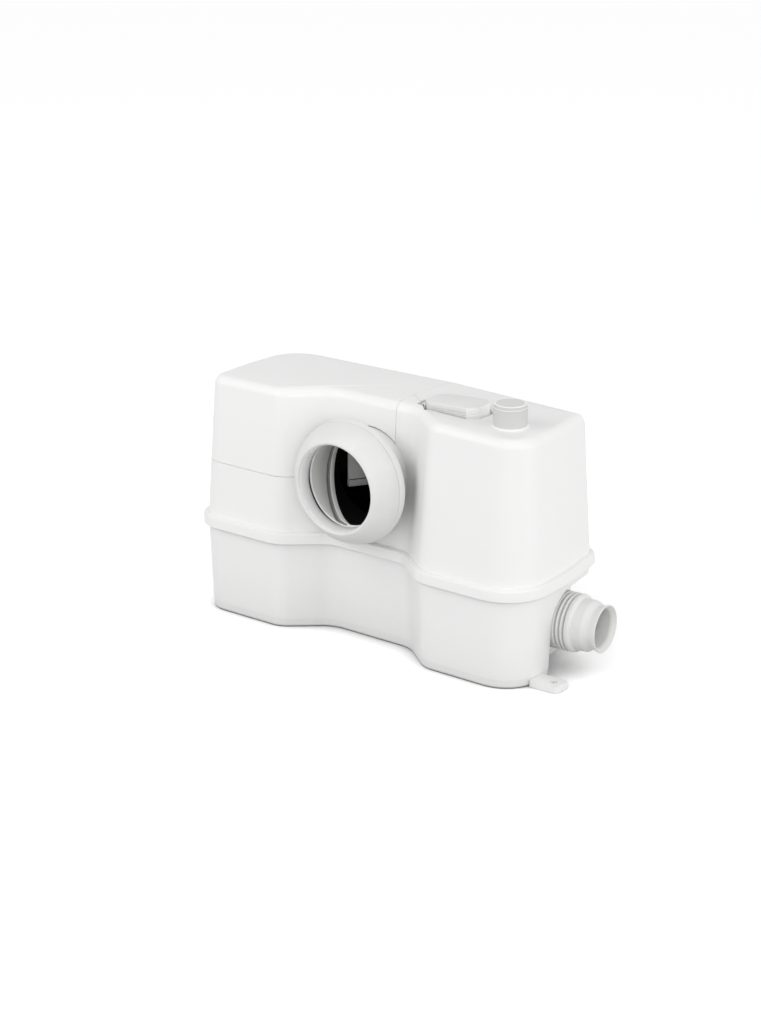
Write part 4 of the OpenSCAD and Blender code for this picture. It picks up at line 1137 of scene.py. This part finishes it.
@dataclass
class VentLid:
    """Hinged lid of the vent on the roof."""

    finishes: Finishes
    x: float = 83.0
    y: float = -6.0
    low: float = 254.74
    length: float = 64.0
    width: float = 38.0
    chamfer: float = 9.0
    top_left: float = 265.04
    rise: float = 3.88
    wall: float = 2.0
    corner: float = 1.6
    chamfer_fall: float = 0.586
    slots: tuple[float, ...] = (0.26, 0.45, 0.64)
    slot_depth: float = 0.8
    slot_past: float = 1.5
    top_edge: tuple[Point, ...] = ((0.0, 0.93), (0.12, 0.965), (0.4, 0.99), (0.8, 1.0))
    hinge: Point = (49.0, 259.042)
    pin: float = 1.3
    knuckle: float = 2.2
    knuckle_l: float = 16.0
    knuckle_steps: int = 32

    def outline(self, inset: float) -> list[Point]:
        """Octagon with rounded corners.

        Args:
            inset: how far it is drawn in.

        Returns:
            Points about the lid's middle.
        """
        lx, ly = self.length / 2 - inset, self.width / 2 - inset
        c = self.chamfer - inset * self.chamfer_fall
        back = [(lx, ly - c), (lx - c, ly), (c - lx, ly), (-lx, ly - c)]
        front = [(x, -y) for x, y in reversed(back)]
        return filleted([(x, y, self.corner) for x, y in back + front])

    def ring(self, inset: float, level: float, groove: float = 0.0) -> list[Vector]:
        """Ring of the lid.

        Args:
            inset: how far it is drawn in.
            level: nought at the foot and one at the sloping top.
            groove: further inset along the front alone.

        Returns:
            Points in millimetres.
        """
        points = []
        for x, y in self.outline(inset):
            top = self.top_left + self.rise * (x + self.length / 2) / self.length
            front = abs(x) < self.length / 2 - self.chamfer + self.slot_past and y < 0
            inward = groove if front else 0.0
            z = self.low + (top - self.low) * level
            points.append(Vector((self.x + x, self.y + y + inward, z)))
        return points

    def build(self) -> None:
        """Builds the hollow lid, its fine front slots and its hinge knuckle, with painted light on its
        free end, its slanting sides and its top.
        """
        blank = Blank()
        w = self.wall
        foot = ((w, 0.76), (w, 0.03), (w - 0.4, 0.0), (0.35, 0.0), (0.0, 0.05))
        rings = [self.ring(inset, level) for inset, level in foot]
        for level in self.slots:
            rings += [self.ring(0.0, level - 0.05), self.ring(0.0, level - 0.03, self.slot_depth)]
            rings += [self.ring(0.0, level + 0.03, self.slot_depth), self.ring(0.0, level + 0.05)]
        rings += [self.ring(inset, level) for inset, level in self.top_edge]
        blank.loft(rings)
        end_from = self.length / 2 - 0.3
        side_from = self.width / 2 - 0.2
        facet_from = self.length / 2 + self.width / 2 - self.chamfer - 0.6

        def end(c: Vector) -> bool:
            """Side at the free end."""
            return c.x - self.x > end_from

        def facet(c: Vector) -> bool:
            """Slanting sides beside the free end."""
            x, y = c.x - self.x, abs(c.y - self.y)
            return x + y > facet_from and x <= end_from and y < side_from

        def top(c: Vector) -> bool:
            """Sloping top."""
            slope = self.rise * ((c.x - self.x) / self.length + 0.5)
            return c.z > self.top_left + slope - 0.6

        # Painted light: the free end, the slanting sides beside it and the top take lighter copies of
        # the moulding than the lid's front.
        blank.paint(end, facet, top)
        x, z = self.hinge
        half = self.knuckle_l / 2
        k = self.knuckle
        path = filleted([(self.pin, -half), (k, -half, 0.5), (k, half, 0.5), (self.pin, half)])
        blank.spin(path, facing(Facing.FRONT, (x, self.y, z)), self.knuckle_steps)
        blank.block((x + 0.6, self.y - half, z), (x + 4.0, self.y + half, z + k), 0.5, Matrix())
        f = self.finishes
        tones = (f.natural, f.gloss, f.shell, f.pale)
        blank.piece("vent_lid_moulded", Body.LID, tones, "vent_lid")


@dataclass
class DischargeCap:
    """Cap pushed into the discharge neck."""

    finishes: Finishes
    place: Place = (152.0, -15.0, 276.3)
    radius: float = 16.0
    height: float = 4.7
    plug: float = 14.1
    plug_l: float = 13.0
    grooves: tuple[float, ...] = (-9.0, -6.2, -3.4)
    steps: int = 96

    def build(self) -> None:
        """Builds the cap with a bead at each edge in a lighter white for painted highlight, a darker
        side for painted shade, and its ribbed plug.
        """
        r, h, p = self.radius, self.height, self.plug
        corners = [(0, -self.plug_l), (p - 1.2, -self.plug_l, 0.4), (p, -self.plug_l + 1.6, 0.6)]
        for z in self.grooves:
            corners += [(p, z - 0.6), (p - 0.5, z), (p, z + 0.6)]
        corners += [
            (p, 0.0), (r + 0.5, 0.0, 0.3), (r + 0.5, 0.8, 0.4), (r - 0.1, 1.2, 0.2),
            (r - 0.1, h - 1.3, 0.2), (r, h - 0.9, 0.3), (r - 0.1, h - 0.1, 0.5), (r - 1.2, h, 0.4),
            (r - 1.9, h - 0.4, 0.3), (0, h - 0.4),
        ]
        blank = Blank()
        blank.spin(filleted(corners, False), Matrix.Translation(self.place), self.steps, False)
        x, y, z = self.place

        def bead(c: Vector) -> bool:
            """Raised edges at the foot and the top of the cap."""
            out = math.dist((c.x, c.y), (x, y)) > r - 1.6
            return out and (0.0 < c.z - z < 1.2 or c.z - z > h - 1.1)

        def side(c: Vector) -> bool:
            """Outside between the beads."""
            return math.dist((c.x, c.y), (x, y)) > r - 0.4 and 1.0 < c.z - z < h - 1.0

        # Painted highlight on the beads and painted shade on the side between them.
        blank.paint(bead, side)
        f = self.finishes
        blank.piece("neck_cap", Body.CAP, (f.natural, f.shell, f.neck), "discharge_cap")


@dataclass
class Baffle:
    """Plate inside the turret that turns the flow away from the pump."""

    finishes: Finishes
    place: Place = (-58.1, -0.7, 145.0)
    turn: float = 57.0
    length: float = 56.4
    thick: float = 3.0
    height: float = 85.0
    rim: float = 1.2
    rim_h: float = 7.0
    line_h: float = 0.9

    def build(self) -> None:
        """Builds the plate with its thickened foot and, above that, a thin black strip that is a
        painted shadow line.
        """
        blank = Blank()
        place = Matrix.Translation(self.place) @ Matrix.Rotation(math.radians(self.turn), 4, "Z")
        long, thick, rim, h = self.length, self.thick, self.rim, self.rim_h
        blank.block((0, 0, 0), (long, thick, self.height), 0.4, place)
        blank.block((0, -rim, 0), (long, thick + rim, h), 0.8, place, 1)
        # Painted shadow: a thin black strip above the foot.
        blank.block((0.2, -0.3, h), (long - 0.2, thick + 0.3, h + self.line_h), 0.2, place, 2)
        # The plate takes the brightest white: painted light in the turret's shade.
        tones = (self.finishes.gloss, self.finishes.pale, self.finishes.black)
        blank.piece("baffle_plate", Body.HOUSING, tones, "splash_baffle")


@dataclass(frozen=True)
class Lamp:
    """Soft square lamp that looks at the object.

    Attributes:
        name: lamp's name.
        azimuth: degrees to the right of the front.
        elevation: degrees above the floor.
        distance: metres from the object.
        size: side in metres.
        level: light on a face square to it, where one shows a colour as it is written.
        aim: what it looks at, in metres.
    """

    name: str
    azimuth: float
    elevation: float
    distance: float
    size: float
    level: float
    aim: Place = (0.0, 0.0, 0.13)

    def build(self) -> None:
        """Builds the lamp."""
        data = bpy.data.lights.new(self.name, "AREA")
        data.size = self.size
        data.energy = self.level * math.pi**2 * self.distance**2
        a, e = math.radians(self.azimuth), math.radians(self.elevation)
        way = Vector((math.sin(a) * math.cos(e), -math.cos(a) * math.cos(e), math.sin(e)))
        lamp = bpy.data.objects.new(self.name, data)
        lamp.location = Vector(self.aim) + way * self.distance
        lamp.rotation_euler = way.to_track_quat("Z", "Y").to_euler()
        bpy.context.scene.collection.objects.link(lamp)


@dataclass
class Studio:
    """Camera, lamps, floor and world."""

    position: Place = (1.4975, -2.0187, 1.0448)
    back: Place = (0.5642, -0.7521, 0.3405)
    roll: float = 0.18
    focal_pixels: float = 2600.0
    frame_height: float = 1015.0
    sensor: float = 36.0
    far: float = 40.0
    sky: float = 1.12
    sky_fall: float = 0.45
    behind_fall: float = 0.5
    floor_half: float = 9.0
    floor_drop: float = 0.0002
    floor_tone: float = 0.52
    floor_seen: float = 1.36
    contact: float = 0.02
    contact_power: float = 0.4
    overhang: float = 0.12
    overhang_gain: float = 2.0
    overhang_share: float = 0.7
    lamps: tuple[Lamp, ...] = (
        Lamp("left", -25.0, 35.0, 1.3, 0.8, 0.21),
        Lamp("middle", 41.0, 20.0, 2.0, 0.6, 0.12),
        Lamp("right", 95.0, 15.0, 1.5, 1.0, 0.185),
    )

    def camera(self) -> None:
        """Camera at the photograph's angle."""
        back = Vector(self.back).normalized()
        right = Vector((-back.y, back.x, 0.0)).normalized()
        turn = Matrix((right, back.cross(right), back)).transposed().to_4x4()
        turn = turn @ Matrix.Rotation(math.radians(self.roll), 4, "Z")
        data = bpy.data.cameras.new("camera")
        data.sensor_width = self.sensor
        data.lens = self.focal_pixels / self.frame_height * self.sensor
        data.clip_end = self.far
        camera = bpy.data.objects.new("camera", data)
        camera.matrix_world = Matrix.Translation(self.position) @ turn
        bpy.context.scene.collection.objects.link(camera)
        bpy.context.scene.camera = camera

    def seen(self, graph: Graph) -> Shade:
        """Tells the rays that show the background: straight, mirrored or through glass.

        Args:
            graph: the nodes of the world or of the floor.

        Returns:
            One for those rays and nought for the others.
        """
        path = graph.node("ShaderNodeLightPath")
        straight = Shade(graph, path.outputs["Is Camera Ray"])
        mirrored = Shade(graph, path.outputs["Is Glossy Ray"])
        return straight.most(mirrored).most(Shade(graph, path.outputs["Is Transmission Ray"]))

    def world(self) -> None:
        """Soft light from all round, weaker from overhead and from behind, white where it is seen."""
        world = bpy.data.worlds.new("studio")
        bpy.context.scene.world = world
        world.use_nodes = True
        graph = Graph(world.node_tree)
        way = graph.node("ShaderNodeTexCoord").outputs["Generated"]
        split = graph.node("ShaderNodeSeparateXYZ", {"Vector": way})
        x, y, z = (Shade(graph, split.outputs[name]) for name in "XYZ")
        behind = (x * -self.back[0] - y * self.back[1]).most(0.0)
        soft = self.sky - z.most(0.0) * self.sky_fall - behind * self.behind_fall
        seen = self.seen(graph)
        level = seen + (1 - seen) * soft
        sockets = {"Color": neutral(1.0), "Strength": level}
        light = graph.node("ShaderNodeBackground", sockets)
        graph.node("ShaderNodeOutputWorld", {"Surface": light.outputs[0]})

    def floor(self) -> None:
        """Pale floor that fades into the background, keeps the shadow, and has painted shadow where the
        object stands near it or over it.
        """
        mesh = bpy.data.meshes.new("floor")
        h = self.floor_half
        mesh.from_pydata([(-h, -h, 0), (h, -h, 0), (h, h, 0), (-h, h, 0)], [], [(0, 1, 2, 3)])
        floor = bpy.data.objects.new("floor", mesh)
        floor.location.z = -self.floor_drop
        bpy.context.scene.collection.objects.link(floor)
        finish = bpy.data.materials.new("floor")
        finish.use_nodes = True
        graph = Graph(finish.node_tree)
        matt = graph.node("ShaderNodeBsdfDiffuse", {"Color": neutral(self.floor_tone)})
        # Painted shadow: where the camera sees the floor, it darkens by ambient occlusion near the
        # object and under what hangs over it.
        under = (graph.nearness(self.overhang) * self.overhang_gain).clipped()
        under = (1 - self.overhang_share) + under * self.overhang_share
        shade = graph.nearness(self.contact) ** self.contact_power * under
        tone = graph.blend(shade, neutral(0.0), neutral(self.floor_seen))
        white = graph.node("ShaderNodeBsdfDiffuse", {"Color": tone})
        sockets = {0: self.seen(graph), 1: matt.outputs[0], 2: white.outputs[0]}
        mix = graph.node("ShaderNodeMixShader", sockets)
        graph.node("ShaderNodeOutputMaterial", {"Surface": mix.outputs[0]})
        mesh.materials.append(finish)

    def build(self) -> None:
        """Sets up the whole studio."""
        bpy.context.scene.view_settings.view_transform = "Standard"
        self.camera()
        self.world()
        self.floor()
        for lamp in self.lamps:
            lamp.build()
        LOG.info("studio ready")


def dress_nodes(frame: dict[str, Any], finishes: Finishes) -> None:
    """Gives each CAD node its slot's finish and smooth shading.

    Args:
        finishes: the finishes.
    """
    for sub in frame["record"]["subparts"]:
        node = frame["nodes"][sub["node"]]
        node.data.materials.clear()
        node.data.materials.append(finishes.by_slot(sub["material_slot"]).material())
        round_over(node.data, SMOOTH_TURN)


def main() -> None:
    """Builds the scene round the frame."""
    logging.basicConfig(level=logging.INFO, format="%(name)s: %(message)s")
    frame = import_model()
    finishes = Finishes()
    Studio().build()
    dress_nodes(frame, finishes)
    Shell(finishes).dress(frame["nodes"])
    Collar(finishes).build()
    SideSleeve(finishes).build()
    VentLid(finishes).build()
    DischargeCap(finishes).build()
    Baffle(finishes).build()


if __name__ == "__main__":
    main()
